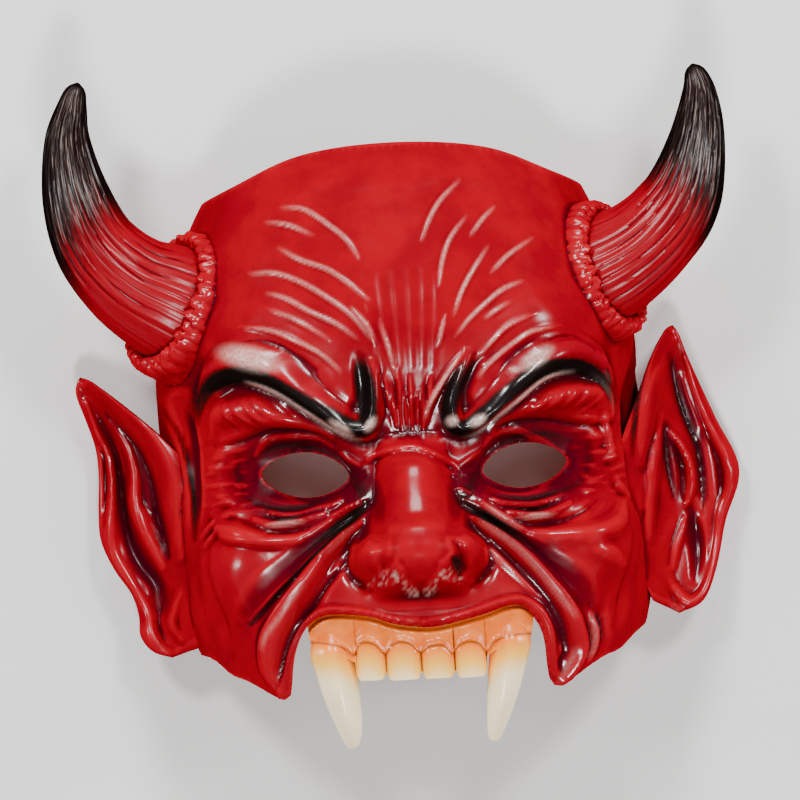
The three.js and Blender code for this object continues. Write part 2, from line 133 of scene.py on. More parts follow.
# How far places on the face lie from a line drawn on it (plus on the line's left), with what the
# line carries at the nearest point: lines are (x, y, half width, height) corners
def alongLine(x, y, corners, spread=1.0):
    corners = inFull(corners)
    length = sum(math.dist(a[:2], b[:2]) for a, b in zip(corners, corners[1:]))
    line = smoothLine(corners, max(6, int(length / 2)))  # a step about every 2 mm
    reach = spread * line[:, 2].max()
    near = ((x > line[:, 0].min() - reach) & (x < line[:, 0].max() + reach)
            & (y > line[:, 1].min() - reach) & (y < line[:, 1].max() + reach))
    which = np.nonzero(near)[0]
    px, py = x[which], y[which]
    best = np.full(len(which), np.inf)
    signed, width, height = np.zeros(len(which)), np.ones(len(which)), np.zeros(len(which))
    for a, b in zip(line[:-1], line[1:]):
        dx, dy = b[0] - a[0], b[1] - a[1]
        t = clamp(((px - a[0]) * dx + (py - a[1]) * dy) / (dx * dx + dy * dy))
        gapX, gapY = px - a[0] - t * dx, py - a[1] - t * dy
        gap = np.hypot(gapX, gapY)
        closer = gap < best
        best[closer] = gap[closer]
        signed[closer] = (gap * np.sign(dx * gapY - dy * gapX))[closer]
        width[closer] = (a[2] + t * (b[2] - a[2]))[closer]
        height[closer] = (a[3] + t * (b[3] - a[3]))[closer]
    return which, signed, width, height


# Adds strokes to a height: rolls are round, creases come to a line, ridges are thin and sharp.
# A roll's lean makes it gentle on the line's left and steep on its right, and a ridge's lean
# undercuts one side of it. Reaches are in half widths of the stroke.
strokeShapes = {"rollReach": 1.6, "creaseReach": 2.4, "creaseFoot": 2.2, "creasePower": 2.2,
                "ridgeReach": 4, "undercutPlace": 1.8}


def addStrokes(height, x, y, strokes):
    for kind, lean, corners in strokes:
        which, gap, width, rise = alongLine(x, y, corners, strokeShapes[kind + "Reach"])
        if kind == "roll":
            width = width * np.where(gap > 0, 1 + lean, 1 - lean)
            height[which] += rise * clamp(1 - (gap / width)**2)**2
        elif kind == "crease":
            foot = strokeShapes["creaseFoot"] * width
            height[which] += rise * clamp(1 - np.abs(gap) / foot)**strokeShapes["creasePower"]
        else:
            under = strokeShapes["undercutPlace"] * width * (1 if lean >= 0 else -1)
            under = np.exp(-((gap + under) / width)**2)
            height[which] += rise * (np.exp(-(gap / width)**2) - abs(lean) * under)


# The smooth face, as in the solid: its reach to each side and to the front at each height
face = {
    "roundness": 2.3,
    "wall": 3.2,
    "columns": 276,
    "rows": 250,
    "outlineSteps": 260,
    "hollowColumns": 60,
    "hollowRows": 44,
    "crowding": 0.56,  # below 1 sets the grid's columns closer at the middle of the face
    "floor": -8,  # the skins reach down to here, and the rim's cut takes them off again
    "hollowFloor": -9,
    "mouthHalfWidth": 54,
    "lipEdgeRadius": 1.5,
    "eyeEdgeRadius": 1.3,
    "rowPlaces": [(0, -91), (0.07, -76), (0.95, 67), (1, 84)],
    "leftReach": [(-96, 60), (-72, 72), (-40, 76), (0, 79), (20, 78), (45, 71), (70, 60), (92, 46)],
    "rightReach": [(-96, 60), (-72, 71), (-40, 73), (0, 73), (20, 72), (45, 67), (70, 57), (92, 44)],
    "frontReach": [(-96, 82), (-72, 89), (-55, 88), (-35, 84), (-15, 81), (5, 86), (25, 88), (45, 83),
                   (65, 72), (80, 58), (92, 44)],
    "noseHeight": [(-62, 0), (-58, 3), (-54, 15), (-49, 23), (-42, 22.6), (-36, 18.8), (-30, 15.9),
                   (-24, 13.3), (-18, 10.7), (-13, 7), (-8, 0)],
    "noseHalfWidth": [(-62, 18), (-54, 17), (-46, 18), (-38, 16), (-28, 12.5), (-18, 11), (-8, 10)],
    # broad pads: (x, y, half length, half height, height)
    "muzzle": (-1, -64, 34, 17, 5),
    "foreheadMiddle": (0, 40, 30, 40, 2),
    "sidePads": [
        (35, -16.5, 27, 17, -11),  # eye socket
        (15, -46, 9, 8, 7),  # wing of the nose
        (55, -46, 17, 20, 6),  # cheek
        (41, 24, 26, 16, 3),  # forehead over the brow
        (66, 2, 9, 22, -3)],  # temple
}


def facePoint(angle, y):
    half = np.where(angle < 0, through(face["leftReach"], y), through(face["rightReach"], y))
    front = through(face["frontReach"], y)
    n = face["roundness"]
    reach = (np.abs(np.sin(angle) / half)**n + np.abs(np.cos(angle) / front)**n)**(-1 / n)
    return np.stack([reach * np.sin(angle), y, reach * np.cos(angle)], axis=-1)


def faceNormal(angle, y, turn=0.01, step=1):
    across = facePoint(angle + turn, y) - facePoint(angle - turn, y)
    up = facePoint(angle, y + step) - facePoint(angle, y - step)
    normal = np.cross(across, up)
    return normal / np.linalg.norm(normal, axis=-1, keepdims=True)


def faceDepth(x, y):
    half = np.where(x < 0, through(face["leftReach"], y), through(face["rightReach"], y))
    share = clamp(1 - np.abs(x / half)**face["roundness"])
    return through(face["frontReach"], y) * share**(1 / face["roundness"])


def pad(x, y, x0, y0, halfLength, halfHeight, height):
    return height * clamp(1 - ((x - x0) / halfLength)**2 - ((y - y0) / halfHeight)**2)**2


# Main forms of the face, the same on its front and behind
def mainForms(x, y):
    across = x / through(face["noseHalfWidth"], y)
    height = through(face["noseHeight"], y) * clamp(1 - np.abs(across)**2.5 / 1.2)**1.9
    height += pad(x, y, *face["muzzle"])
    height += pad(x, y, *face["foreheadMiddle"])
    for side in (-1, 1):
        for x0, *rest in face["sidePads"]:
            height += pad(x, y, side * x0, *rest)
    return height


# Flesh of the face in strokes: (kind, lean, corners), each corner (x, y, half width, height). The
# last values are left out where they stay as they were.
browStrokes = [
    ("roll", 0.05, [(-66, -6, 3, 0.5), (-65, 1, 4, 1.5), (-62, 8, 5.5, 3), (-56, 14, 7, 4.8), (-48, 16.5, 8.5, 5.8),
        (-41, 14.5, 8, 6.2), (-35, 10, 6.5), (-29, 4.5, 5.5, 5.8), (-23, -0.5, 5, 5.6), (-17.5, -4.3, 4.6, 6),
        (-12.5, -4.2, 4.2, 5.6), (-10.3, 0.5, 3.6, 4.4), (-10, 7, 3.2, 3), (-10.6, 14, 2.6, 0.8)]),
    ("roll", -0.05, [(65.5, -7, 3, 0.5), (64, -1, 4, 1.6), (61, 5, 5.5, 3.2), (55, 10.5, 6.5, 4.8),
        (48, 12.8, 7, 5.6), (41, 11.3, 7, 6.2), (35, 7.5, 6.3), (29.5, 2.3, 5.5, 5.8), (24.5, -2.6, 5, 5.6),
        (19.5, -6.1, 4.6, 6), (14.8, -6.6, 4.2, 5.8), (12.6, -1.8, 3.6, 4.6), (14, 4.5, 3.2, 3.6),
        (16.5, 10, 3, 2.4), (19, 15, 2.4, 0.6)]),
    ("ridge", 0.2, [(-50, 10.8, 1.2, 0.6), (-46, 9.4, 1.3, 1.6), (-42, 7.6, 1.3, 1.9), (-38, 5.2, 1.3, 2),
        (-34, 2.2), (-30, -0.8), (-26, -3.8, 1.3, 1.9), (-22, -6.5, 1.3, 1.7), (-18, -8.8, 1.2, 1.3),
        (-14, -9.4, 1, 0.9), (-10.5, -7.6, 0.9, 0.5)]),
    ("ridge", -0.2, [(52, 6.8, 1.2, 0.6), (47, 6.7, 1.3, 1.5), (42, 5.4, 1.3, 1.8), (38, 3, 1.3, 1.9), (34, 0),
        (30, -3), (27, -5, 1.3, 1.8), (23.5, -7.7, 1.3, 1.6), (19.5, -9.9, 1.2, 1.2), (15, -10.6, 1, 0.8),
        (11, -8.6, 0.9, 0.4)]),
    ("crease", 0, [(-58, 8.5, 1.6, -0.6), (-52, 9.2, 1.8, -1.8), (-45, 7.9, 1.8, -2.4), (-38, 4.3), (-32, -0.5),
        (-27, -4.2), (-22, -7.5, 1.8, -2.2), (-17, -10.2, 1.6, -1.8), (-12, -10.8, 1.5, -1.2),
        (-8, -8, 1.4, -0.6)]),
    ("crease", 0, [(58, 3.4, 1.5, -0.6), (52, 5.2, 1.7, -1.8), (47, 5.3, 1.8, -2.4), (42, 3.8), (37, 0.6),
        (32, -3.4), (27.5, -6.7), (22.5, -9.9, 1.7, -2), (17.5, -11.6, 1.6, -1.6), (12.5, -11, 1.4, -1),
        (9, -7.8, 1.2, -0.6)]),
    ("crease", 0, [(-48.5, 22.6, 0.8, -0.4), (-43, 22.3, 1, -0.9), (-37, 20.5, 1, -1), (-32, 17, 0.9, -0.7),
        (-27, 12.5, 0.8, -0.4)]),
    ("crease", 0, [(39, 16, 0.8, -0.4), (43, 17.4, 1, -0.9), (48, 17.8), (52, 16.4, 1, -0.7),
        (55, 13.5, 0.8, -0.3)]),
    ("roll", 0, [(-17.5, -1, 2.4, -0.8), (-14.5, 4, 3, -1.8), (-14.2, 10, 3, -1.6), (-14.6, 16, 2.4, -0.4)]),
    ("roll", 0, [(17, -1.5, 2.2, -0.8), (17.3, 3, 2.6, -1.5), (19.6, 8, 2.8), (22, 13, 2.2, -0.5)]),
    ("ridge", 0.2, [(4.6, -5, 0.8, 0.5), (6, -0.6, 0.9, 1.4), (8.4, 3.4, 1, 1.8), (11, 7.2), (14, 11.2, 0.9, 1.6),
        (17.6, 15.6, 0.8, 0.5)]),
    ("ridge", -0.4, [(55.3, 6.5, 0.9, 0.4), (58.5, 4.6, 1.1, 1), (61, 1, 1.1, 1.1), (62.7, -3, 1.1, 1),
        (63, -8, 0.9, 0.4)]),
    ("ridge", 0.4, [(60.6, 7.4, 0.8, 0.5), (61.6, 4.6, 0.9, 1), (62.8, 2, 0.8, 0.4)]),
    ("roll", 0, [(-28, 13, 5, 0.5), (-23, 8, 7.5, 1.6), (-18, 2.5, 4.5, 0.9)]),
    ("roll", 0, [(31, 12, 4.5, 0.5), (26, 6.5, 6.5, 1.6), (21.5, 0, 3.8, 0.8)])]

eyeStrokes = [
    # upper lids
    ("roll", 0, [(-62.5, -5, 3.5, 0.9), (-59.5, 0.5, 5, 2.3), (-53, 2.2, 5.8, 3), (-46, 1.2, 6),
        (-39, -1.8, 5, 2.4), (-32, -5.2, 3.6, 1.4), (-26, -9, 2.5, 0.6)]),
    ("roll", 0, [(62, -6, 3.2, 1), (59, -0.5, 4.8, 2.2), (52.5, 0.8, 5.6, 2.9), (45, 0), (38.5, -2.6, 4.8, 2.5),
        (32, -6, 3.8, 1.6), (27, -9.8, 2.6, 0.6)]),
    ("crease", 0, [(-61, -8.5, 1.2, -0.6), (-53, -8, 1.4, -1.6), (-45, -5.6, 1.5, -1.8), (-37, -6, 1.4, -1.6),
        (-30, -8.4, 1.3, -1.2), (-24.5, -11.8, 1.2, -0.6)]),
    ("crease", 0, [(59, -10, 1.2, -0.6), (52, -9.6, 1.4, -1.4), (45, -8.2, 1.5, -1.8), (38, -8.4, 1.4),
        (32, -9.2, 1.3, -1.4), (26.5, -12, 1.2, -0.6)]),
    ("roll", 0, [(-50, -12.5, 1.6, 0.6), (-45.5, -8.6, 1.8, 1.6), (-38, -7.9, 1.8, 1.8), (-31, -9, 1.8, 1.6),
        (-25, -12.4, 1.4, 0.6)]),
    ("ridge", 0.5, [(24.5, -13.8, 1, 0.7), (27, -12, 1.3, 1.5), (31, -10.9, 1.3, 1.8), (35.5, -11.1, 1.1, 1.3),
        (40, -12.2, 1, 1.1), (45, -14.2, 1, 1), (49.5, -17.5, 0.9, 0.6)]),
    ("ridge", 0.4, [(-41, -9.2, 0.7, 0.4), (-36, -8.9, 0.8, 0.8), (-31, -10, 0.7, 0.4)]),
    ("ridge", 0.5, [(-23.5, -13.4, 0.9, 0.5), (-20.5, -15, 1, 1.2), (-16.8, -16.9, 0.8, 0.5)]),
    ("crease", 0, [(-24, -17, 1.2, -0.6), (-20, -18.6, 1.4, -1.2), (-15.5, -19.5, 1.2, -0.5)]),
    ("ridge", 0.5, [(15, -18.7, 0.8, 0.4), (19, -16.8, 0.9, 0.9), (23.5, -14.8, 0.8, 0.4)]),
    # under the eyes
    ("crease", 0, [(-49, -26, 1, -0.5), (-43, -28.3, 1.2, -1.4), (-36, -28.6), (-29, -26.8, 1, -0.6)]),
    ("ridge", 0.4, [(-44.5, -29.4, 0.9, 0.7), (-41, -30.3, 1, 1), (-36, -30.2, 0.9, 0.7), (-31, -28.6),
        (-26.5, -28.3, 1, 1.2), (-23.3, -27, 0.9, 0.7)]),
    ("crease", 0, [(-48, -30.2, 1, -0.7), (-42, -31.9, 1.1, -1.3), (-36, -31.6), (-29, -29.8, 1, -0.6)]),
    ("roll", 0, [(-48.5, -31.5, 1.6, 0.8), (-44, -33, 2.1, 2.2), (-39, -33.1, 2.1, 2.4), (-34.5, -32, 1.9, 1.8),
        (-28, -30.3, 1.5, 0.8)]),
    ("crease", 0, [(-52, -32.5, 1.2, -0.6), (-46, -35.4, 1.5, -1.6), (-39, -36), (-32, -34.4, 1.4, -1.2),
        (-26, -32, 1.2, -0.6)]),
    ("roll", 0.2, [(-61, -32, 3, 0.8), (-56, -35.2, 4, 2.6), (-50, -37, 4.4, 3), (-43, -38.2, 4.2, 2.6),
        (-36, -38, 3, 0.8)]),
    ("ridge", 0.5, [(-58, -33.6, 0.9, 0.4), (-54, -33.9, 1.2, 1), (-50, -35, 1, 0.8), (-45.5, -35.8, 0.9, 0.5)]),
    ("crease", 0, [(23, -28, 1, -0.5), (29, -29.8, 1.2, -1.3), (36, -30.6, 1.2, -1.4), (43, -29.2, 1, -0.7)]),
    ("ridge", 0.4, [(24, -30, 0.9, 0.8), (27.5, -31.4, 0.9, 0.9), (31, -31.7), (35, -32.2, 1, 1),
        (40, -31.6, 0.8, 0.5)]),
    ("crease", 0, [(27, -32.6, 1, -0.7), (33, -34, 1.1, -1.3), (39, -33.8, 1.1, -1.2), (45, -31.8, 1, -0.6)]),
    ("roll", 0, [(28, -34, 1.6, 0.9), (32, -35, 2, 2.2), (36, -36, 2.1, 2.6), (40.5, -35.3, 2, 2),
        (46, -33, 1.6, 0.8)]),
    ("crease", 0, [(30, -37.2, 1.2, -0.8), (36, -38.6, 1.5, -1.6), (43, -38.4), (50, -36, 1.4, -1.2),
        (55, -32.5, 1.2, -0.6)]),
    ("roll", -0.2, [(36, -41, 3, 0.8), (43, -42.2, 4, 2.4), (51, -42, 4.5, 3), (58, -39, 4, 2.4),
        (63, -34, 3, 0.8)]),
    ("ridge", 0.3, [(-23.5, -31.4, 0.9, 0.6), (-20, -29.7, 1.1, 1.4), (-16, -28.9, 0.9, 0.6)]),
    # outer corners
    ("ridge", 0.4, [(59.8, -6.5, 0.9, 0.5), (60.2, -9, 1.1, 1.2), (61, -13, 1, 1), (61.2, -17),
        (61, -21, 0.8, 0.4)]),
    ("ridge", 0.4, [(62.2, -27, 0.9, 0.6), (63.5, -29.5, 1.1, 1.2), (65.8, -32.5, 0.8, 0.4)]),
    ("ridge", 0.4, [(-65.5, -36.3, 0.8, 0.5), (-63.5, -34, 1, 1.1), (-61, -31.4, 0.8, 0.5)]),
    ("ridge", 0.4, [(-63.6, -39, 0.8, 0.5), (-61.5, -36.3, 1, 1), (-59.6, -34.5, 0.8, 0.5)])]

noseStrokes = [
    ("ridge", 0.6, [(-14, -15.5, 0.9, 0.5), (-9.5, -13.4, 1, 1), (-5, -11.6), (0, -11), (4, -12.5), (8, -15.7),
        (12, -18.3, 1, 0.8), (15, -21, 0.8, 0.4)]),
    ("crease", 0, [(-18.5, -36, 1.2, -0.5), (-21.5, -40.5, 1.5, -1.8), (-22, -46.5, 1.6, -2),
        (-19.5, -52, 1.5, -1.6), (-14.5, -55.5, 1.3, -0.8)]),
    ("crease", 0, [(16, -37, 1.2, -0.5), (20, -41.5, 1.5, -1.8), (21.4, -47, 1.6, -2), (19.5, -52.5, 1.5, -1.6),
        (14.5, -56, 1.3, -0.8)]),
    ("roll", 0, [(-10.5, -37, 3, -0.4), (-10.6, -42.5, 3.6, -1.3), (-10.4, -47, 3.2), (-9.6, -50, 2.2, -0.7)]),
    ("roll", 0, [(10, -37, 3, -0.4), (10.2, -42, 3.4, -1.2), (10.4, -45.5, 2.6, -1)]),
    ("roll", 0, [(9.8, -45.8, 1.8, -1.6), (11, -48.6, 2.4, -3.4), (12.3, -51.3, 1.6, -1.8)]),
    ("roll", 0, [(-10.8, -50.6, 1.6, -0.5), (-7.8, -50.4, 1.8, -0.9), (-5, -50.8, 1.6, -0.5)]),
    ("ridge", 0, [(-16.5, -54, 0.7, 0.3), (-13, -53.6, 0.8, 0.7), (-11.6, -52.4, 0.8, 0.8),
        (-10.8, -50.6, 0.8, 0.9)]),
    ("ridge", 0, [(-9.6, -52, 0.8, 0.8), (-8.4, -50.4, 0.8, 1), (-7.2, -51.2)]),
    ("ridge", 0, [(-6.4, -50.2, 0.8, 0.9), (-5.4, -51.6, 0.8, 1), (-4.8, -53.4, 0.8, 0.9)]),
    ("ridge", 0, [(3.8, -54.6, 0.8, 0.8), (5, -53.2, 0.8, 1), (5.8, -51.4)]),
    ("ridge", 0, [(6.6, -51.6, 0.8, 0.9), (7.6, -50, 0.8, 1), (8.6, -49.4, 0.8, 0.8)]),
    ("ridge", 0.2, [(8.6, -51.4, 0.9, 0.8), (10.4, -52.4, 1, 1.3), (12.8, -53.9, 0.8, 0.5)]),
    ("roll", 0, [(-3.4, -56.2, 2, 1.7), (-2.2, -56.6)]),
    ("roll", 0, [(1.8, -56.4, 1.8, 1.5), (2.8, -56)]),
    ("ridge", 0, [(12.6, -43.6, 0.8, 0.4), (14, -44.6, 0.9, 0.8), (16.2, -45.6, 0.8, 0.4)]),
    ("ridge", 0.3, [(19.8, -45.6, 0.9, 0.5), (20.1, -47.4, 1, 1), (20, -49.2, 0.8, 0.5)]),
    ("ridge", 0.4, [(12, -25.8, 0.8, 0.4), (14, -26.6, 0.9, 0.9), (16.4, -27.6, 0.7, 0.4)]),
    ("ridge", 0.4, [(10.4, -20.8, 0.8, 0.5), (12.4, -21.3, 0.8, 0.7), (14.5, -22.4, 0.7, 0.3)])]

cheekStrokes = [
    # the long valley beside the nose, then the crease and the big fold round the mouth, on the left
    ("roll", 0, [(-15.5, -29.5, 2.4, -1.4), (-21, -33, 3, -2.8), (-28, -37, 3.4, -3), (-36, -43, 4, -2.8),
        (-44, -51, 4.6, -2.2), (-52, -60, 4, -0.8)]),
    ("crease", 0, [(-25, -38, 1.1, -0.8), (-29, -41, 1.2, -1.6), (-33.5, -44.8, 1.3, -2), (-38, -48.9, 1.4, -2.2),
        (-43, -53.6, 1.5, -2.4), (-48, -58.9, 1.5, -2.2), (-53, -63.6, 1.2, -0.8)]),
    ("ridge", 0, [(-28, -39, 0.8, 0.5), (-33, -43, 0.8, 0.8), (-38, -47.6, 0.8, 0.9), (-43, -52.2),
        (-48, -57.6, 0.8, 0.8), (-52.4, -62, 0.8, 0.5)]),
    ("roll", 0, [(-17.5, -34.4, 1.6, 1.2), (-22, -38, 2.3, 2.6), (-27, -42.4, 3.1, 3.6), (-32, -48, 3.8, 4.2),
        (-37, -54.5, 4.4, 4.6), (-42, -61.5, 4.8, 4.8), (-45.6, -68.5, 5), (-46.6, -76, 4.8, 4.2),
        (-44.8, -83, 3.8, 3.2), (-42.5, -87, 2.6, 1.8)]),
    ("ridge", 0.3, [(-17.6, -34.9, 0.8, 0.6), (-21.5, -37.4, 0.9, 1), (-25, -40.4), (-29, -44.2, 0.8, 0.5)]),
    ("ridge", 0.3, [(-35, -50.8, 0.8, 0.5), (-37.5, -53.6, 0.9, 1.1), (-41, -58, 0.9, 1.2), (-44, -61.6),
        (-48.4, -67.2, 1), (-49.8, -72, 0.9, 0.9), (-49.4, -78, 0.8, 0.4)]),
    ("crease", 0, [(-21, -43.6, 1.1, -0.8), (-25.5, -48.6, 1.4, -2), (-30, -53.6, 1.5, -2.4),
        (-34, -58.8, 1.6, -2.6), (-38, -64.6), (-41.4, -70.4, 1.5, -2.2), (-43.2, -76, 1.3, -1.6),
        (-43.6, -82, 1, -0.8)]),
    ("ridge", 0, [(-22.2, -44.7, 0.8, 0.8), (-25, -47.4), (-27.5, -49.6, 0.7, 0.4)]),
    ("ridge", 0, [(-29, -51, 0.7, 0.4), (-32, -55, 0.7, 0.7), (-35.4, -58.9, 0.7, 0.4)]),
    ("roll", 0, [(0, -65.6, 1.6, 1.1), (-8, -64.4), (-16, -61.9, 1.7, 1.2), (-24, -60.4, 1.9, 1.5),
        (-30, -60.5, 2.1, 1.8), (-36.4, -64, 2.2, 2), (-39.9, -69.4), (-41.8, -75.5, 2, 1.8),
        (-42.6, -82, 1.8, 1.4), (-43.4, -86.2, 1.4, 0.8)]),
    ("crease", 0, [(-62, -40, 1.6, -0.4), (-61.5, -50, 2, -1), (-60.5, -62), (-59.5, -74, 1.6, -0.6)]),
    ("crease", 0, [(-48, -80, 1, -0.6), (-45.8, -82.5, 1, -1), (-44.6, -86, 0.9, -0.6)]),
    # the same on the right
    ("ridge", 0.3, [(20.6, -31.2, 0.8, 0.5), (23.5, -33.6, 1, 1.2), (28, -37, 1, 1.3), (32.4, -39.9, 0.8, 0.5)]),
    ("roll", 0, [(14, -31, 2.2, -1.6), (20, -34.6, 2.2, -2.4), (26, -38.8, 2.2, -2.6), (32, -43.2, 2.8, -2.8),
        (38, -48.2, 3.6, -2.6), (44, -54, 4.2, -2), (49, -61, 4, -1.2), (52, -68, 3, -0.6)]),
    ("ridge", 0, [(26.5, -38.6, 0.7, 0.4), (31, -42.2, 0.7, 0.8), (35, -46), (38.6, -50.2, 0.7, 0.6),
        (41.4, -54.6, 0.7, 0.5), (44.5, -60, 0.7, 0.3)]),
    ("roll", 0, [(17.5, -35.2, 1.6, 1.2), (22, -39, 2.3, 2.8), (27, -43.7, 2.9, 3.6), (32, -49.2, 3.4, 4.2),
        (36.6, -55.6, 3.8, 4.6), (40.8, -62, 4.2, 4.8), (44.4, -69, 4.6), (46, -76, 4.4, 4.2),
        (43.6, -82.5, 3.8, 3.2), (40, -88, 2.6, 1.8)]),
    ("ridge", -0.3, [(18, -35.6, 0.8, 0.6), (22, -38.5, 1, 1.2), (26, -41.7, 1, 1.3), (30, -45.3), (33.4, -49),
        (36.4, -53), (39.2, -56.8), (41.8, -60.7), (44.4, -64.4, 0.9, 1.1), (47, -68.2, 0.8, 0.5)]),
    ("crease", 0, [(23, -43, 1.1, -0.8), (28, -48.2, 1.4, -2), (33, -53.8, 1.5, -2.4), (37, -59.7, 1.6, -2.6),
        (40.5, -66, 1.6, -2.4), (42.3, -72, 1.4, -1.8), (42.2, -78, 1.1, -1)]),
    ("ridge", 0, [(21.2, -44.4, 0.8, 0.6), (23.2, -47.3, 0.9, 1.2), (26.5, -51), (30, -54.7, 0.8, 1),
        (34, -58.8, 0.8, 0.9), (37.4, -62.6, 0.7, 0.4)]),
    ("roll", 0, [(0, -65.6, 1.6, 1.1), (8, -64.8), (16, -63, 1.7, 1.2), (24, -61, 1.9, 1.5), (30, -60.9, 2, 1.8),
        (34.8, -64.4, 2.2, 2), (37.2, -69), (38.2, -75, 2, 1.8), (38.4, -81, 1.8, 1.4), (39.6, -86, 1.4, 0.8)]),
    ("ridge", 0, [(46.6, -75.6, 0.8, 0.5), (44.4, -80, 0.9, 1.1), (42, -83.8), (39.5, -87.8, 0.8, 0.5)]),
    ("ridge", -0.6, [(51.2, -66, 0.9, 0.5), (52.1, -72, 1.3, 1.5), (51.6, -77, 1.2, 1.4), (49.4, -81.6, 0.9, 0.6)]),
    ("ridge", 0, [(41.8, -75.2, 0.7, 0.5), (40.8, -77.4, 0.8, 0.8), (39.4, -79.6, 0.7, 0.4)]),
    ("roll", 0.1, [(46.5, -45.5, 2.6, 0.4), (50, -47.4, 3.8, 1.5), (54, -50, 4, 1.7), (58, -53, 2.8, 0.4)]),
    ("crease", 0, [(64, -44, 1.6, -0.4), (62, -54, 2, -1), (60.5, -64), (59, -72, 1.6, -0.6)]),
    ("crease", 0, [(55, -63, 1, -0.4), (54.6, -69, 1.2, -0.9), (55, -76, 1, -0.4)])]

# Fine raised wrinkles of the forehead: each line of (x, y) corners fades at its ends
foreheadLines = {
    "halfWidth": 0.7,
    "height": 0.95,
    "lines": [
        [(-35.5, 63), (-28, 62), (-20, 56), (-15, 51), (-12, 45)],
        [(-40.5, 59), (-33, 57.5), (-25.5, 53.5)],
        [(-37, 51), (-30, 46.5), (-22, 43), (-16, 38.5), (-9.5, 32)],
        [(-46.5, 43.5), (-38, 43), (-30, 39.5), (-22, 34), (-15, 28), (-9.5, 20)],
        [(-41.5, 37.3), (-35, 35), (-28, 30.5), (-20, 26), (-14, 21)],
        [(-40.5, 32.3), (-32, 28), (-22.5, 21.5)],
        [(-48.5, 27), (-40, 25.5), (-33, 22), (-25, 17), (-19.5, 11)],
        [(-15.5, 31), (-11, 25), (-8.8, 19)],
        [(-7.2, 26), (-5, 18), (-3.4, 8)],
        [(7, 49), (10, 56), (14, 62), (20.5, 68)],
        [(11.4, 35), (13, 43), (16, 50), (21.5, 56.5)],
        [(22, 50), (26, 55), (30.5, 59)],
        [(15.3, 26), (18, 33), (22, 39.5), (27.5, 47)],
        [(27.5, 38.5), (33, 43.5), (41.5, 48.7)],
        [(15.5, 20), (20, 25), (26, 30), (31, 33.5), (37.5, 35.6)],
        [(24.5, 24.6), (28, 27), (32.5, 29.4)],
        [(21, 12.5), (26, 17.5), (31, 22), (39, 25.3)],
        [(20.8, 6.6), (24.5, 10.6), (29, 14.2), (34, 17.6), (38.5, 20), (46, 21)],
        [(9.8, 17), (11, 21), (12.6, 26.5)]],
}

# Small wrinkles: (x, top, bottom) between the brows, and (x, y) corners of thin ridges on the lids
frownLines = [(-6.2, 9.5, -2), (-4.4, 5, -6), (-2.6, 12, -8), (-0.9, 4, -7), (0.8, 9, -8), (2.6, 3.5, -7.5),
              (4.2, 4, -9), (6.6, 8, 0)]
lidLines = [
    [(-49.5, 5), (-46, 1), (-42.5, -3)], [(-51.5, 2.5), (-48.5, -1), (-45.5, -4.5)],
    [(-47, 6), (-43, 2), (-39, -1.5)], [(-44.5, 7), (-39, 3.6), (-34, -0.5)], [(-42, 4.6), (-36.5, 1), (-31, -3)],
    [(-55, 4), (-53.5, 0), (-51, -4)], [(40, 2.5), (36.5, -1), (32.5, -5.5)], [(42.5, 1.5), (39, -2.3), (35.5, -6)],
    [(45.5, 1.5), (42.5, -2), (39.5, -6)], [(38, 3), (34.5, -0.5), (30.5, -4.5)], [(50, 3), (47.5, -1), (45.5, -5)],
    [(54, 2.5), (51.5, -1.5), (48.5, -5.5)], [(58, 0), (55.5, -3), (52, -6)]]
crumple = {"seed": 11, "left": (-1, 42, -10), "right": (1, 52, -6)}  # side, count and top of the folds


# The finest strokes: the lines above, furrows up the forehead, and crumpled skin beside the eyes
def fineStrokes():
    strokes = []
    halfWidth, height = foreheadLines["halfWidth"], foreheadLines["height"]
    for path in foreheadLines["lines"]:
        swell = [math.sin(math.pi * share) for share in np.linspace(0, 1, len(path))]
        strokes.append(("ridge", 0.08 if path[0][0] < 0 else -0.08, [
            (x, y, halfWidth * (0.75 + 0.25 * s), height * (0.25 + 0.75 * s)) for (x, y), s in zip(path, swell)]))
    for x, top, bottom in frownLines:
        strokes.append(("ridge", 0.7, [(x * 1.1, top, 0.6, 0.25), (x, (top + bottom) / 2, 0.7, 0.95),
                                       (x * 0.9, bottom, 0.6, 0.3)]))
    for x in (-9, -5.4, -2, 1.5, 4.8, 8):
        strokes.append(("ridge", 0.5, [(x, 12, 1, 0.15), (x * 1.15, 25, 1.1, 0.22), (x * 1.3, 40, 1, 0.05)]))
    random = np.random.default_rng(crumple["seed"])
    for side, count, top in (crumple["left"], crumple["right"]):
        for _ in range(count):
            x = side * random.uniform(52.5, 63)
            y = random.uniform(-31, top)
            long, rise = random.uniform(1.6, 3.6), random.uniform(0.2, 0.45)
            drop = random.uniform(-0.5, 0.5)
            strokes.append(("ridge", 0.3, [(x - long, y - drop, 0.7, 0.1), (x, y, 0.85, rise),
                                           (x + long, y + drop, 0.7, 0.1)]))
    for path in lidLines:
        strokes.append(("ridge", 0.4, [(x, y, wide, high) for (x, y), wide, high in
                                       zip(path, (0.6, 0.7, 0.6), (0.15, 0.65, 0.15))]))
    return strokes


# Slow unevenness of a dipped casting
def unevenness(x, y):
    return (0.14 * np.sin(x / 6.1 + 1.7 * np.sin(y / 9.3)) * np.sin(y / 7.4 + 1.1 * np.sin(x / 8.2 + 1))
            + 0.05 * np.sin(x / 2.9 + 2 * np.sin(y / 4.1)) * np.sin(y / 3.3 + np.sin(x / 3.7)))


# Drop of a rounded edge along a closed outline
def edgeDrop(x, y, outline, radius):
    corners = [(px, py, radius, 0) for px, py in outline]
    which, gap, _, _ = alongLine(x, y, corners + corners[:1])
    drop = np.zeros(len(x))
    drop[which] = 0.55 * radius * clamp(1 - np.abs(gap) / radius)**2
    return drop


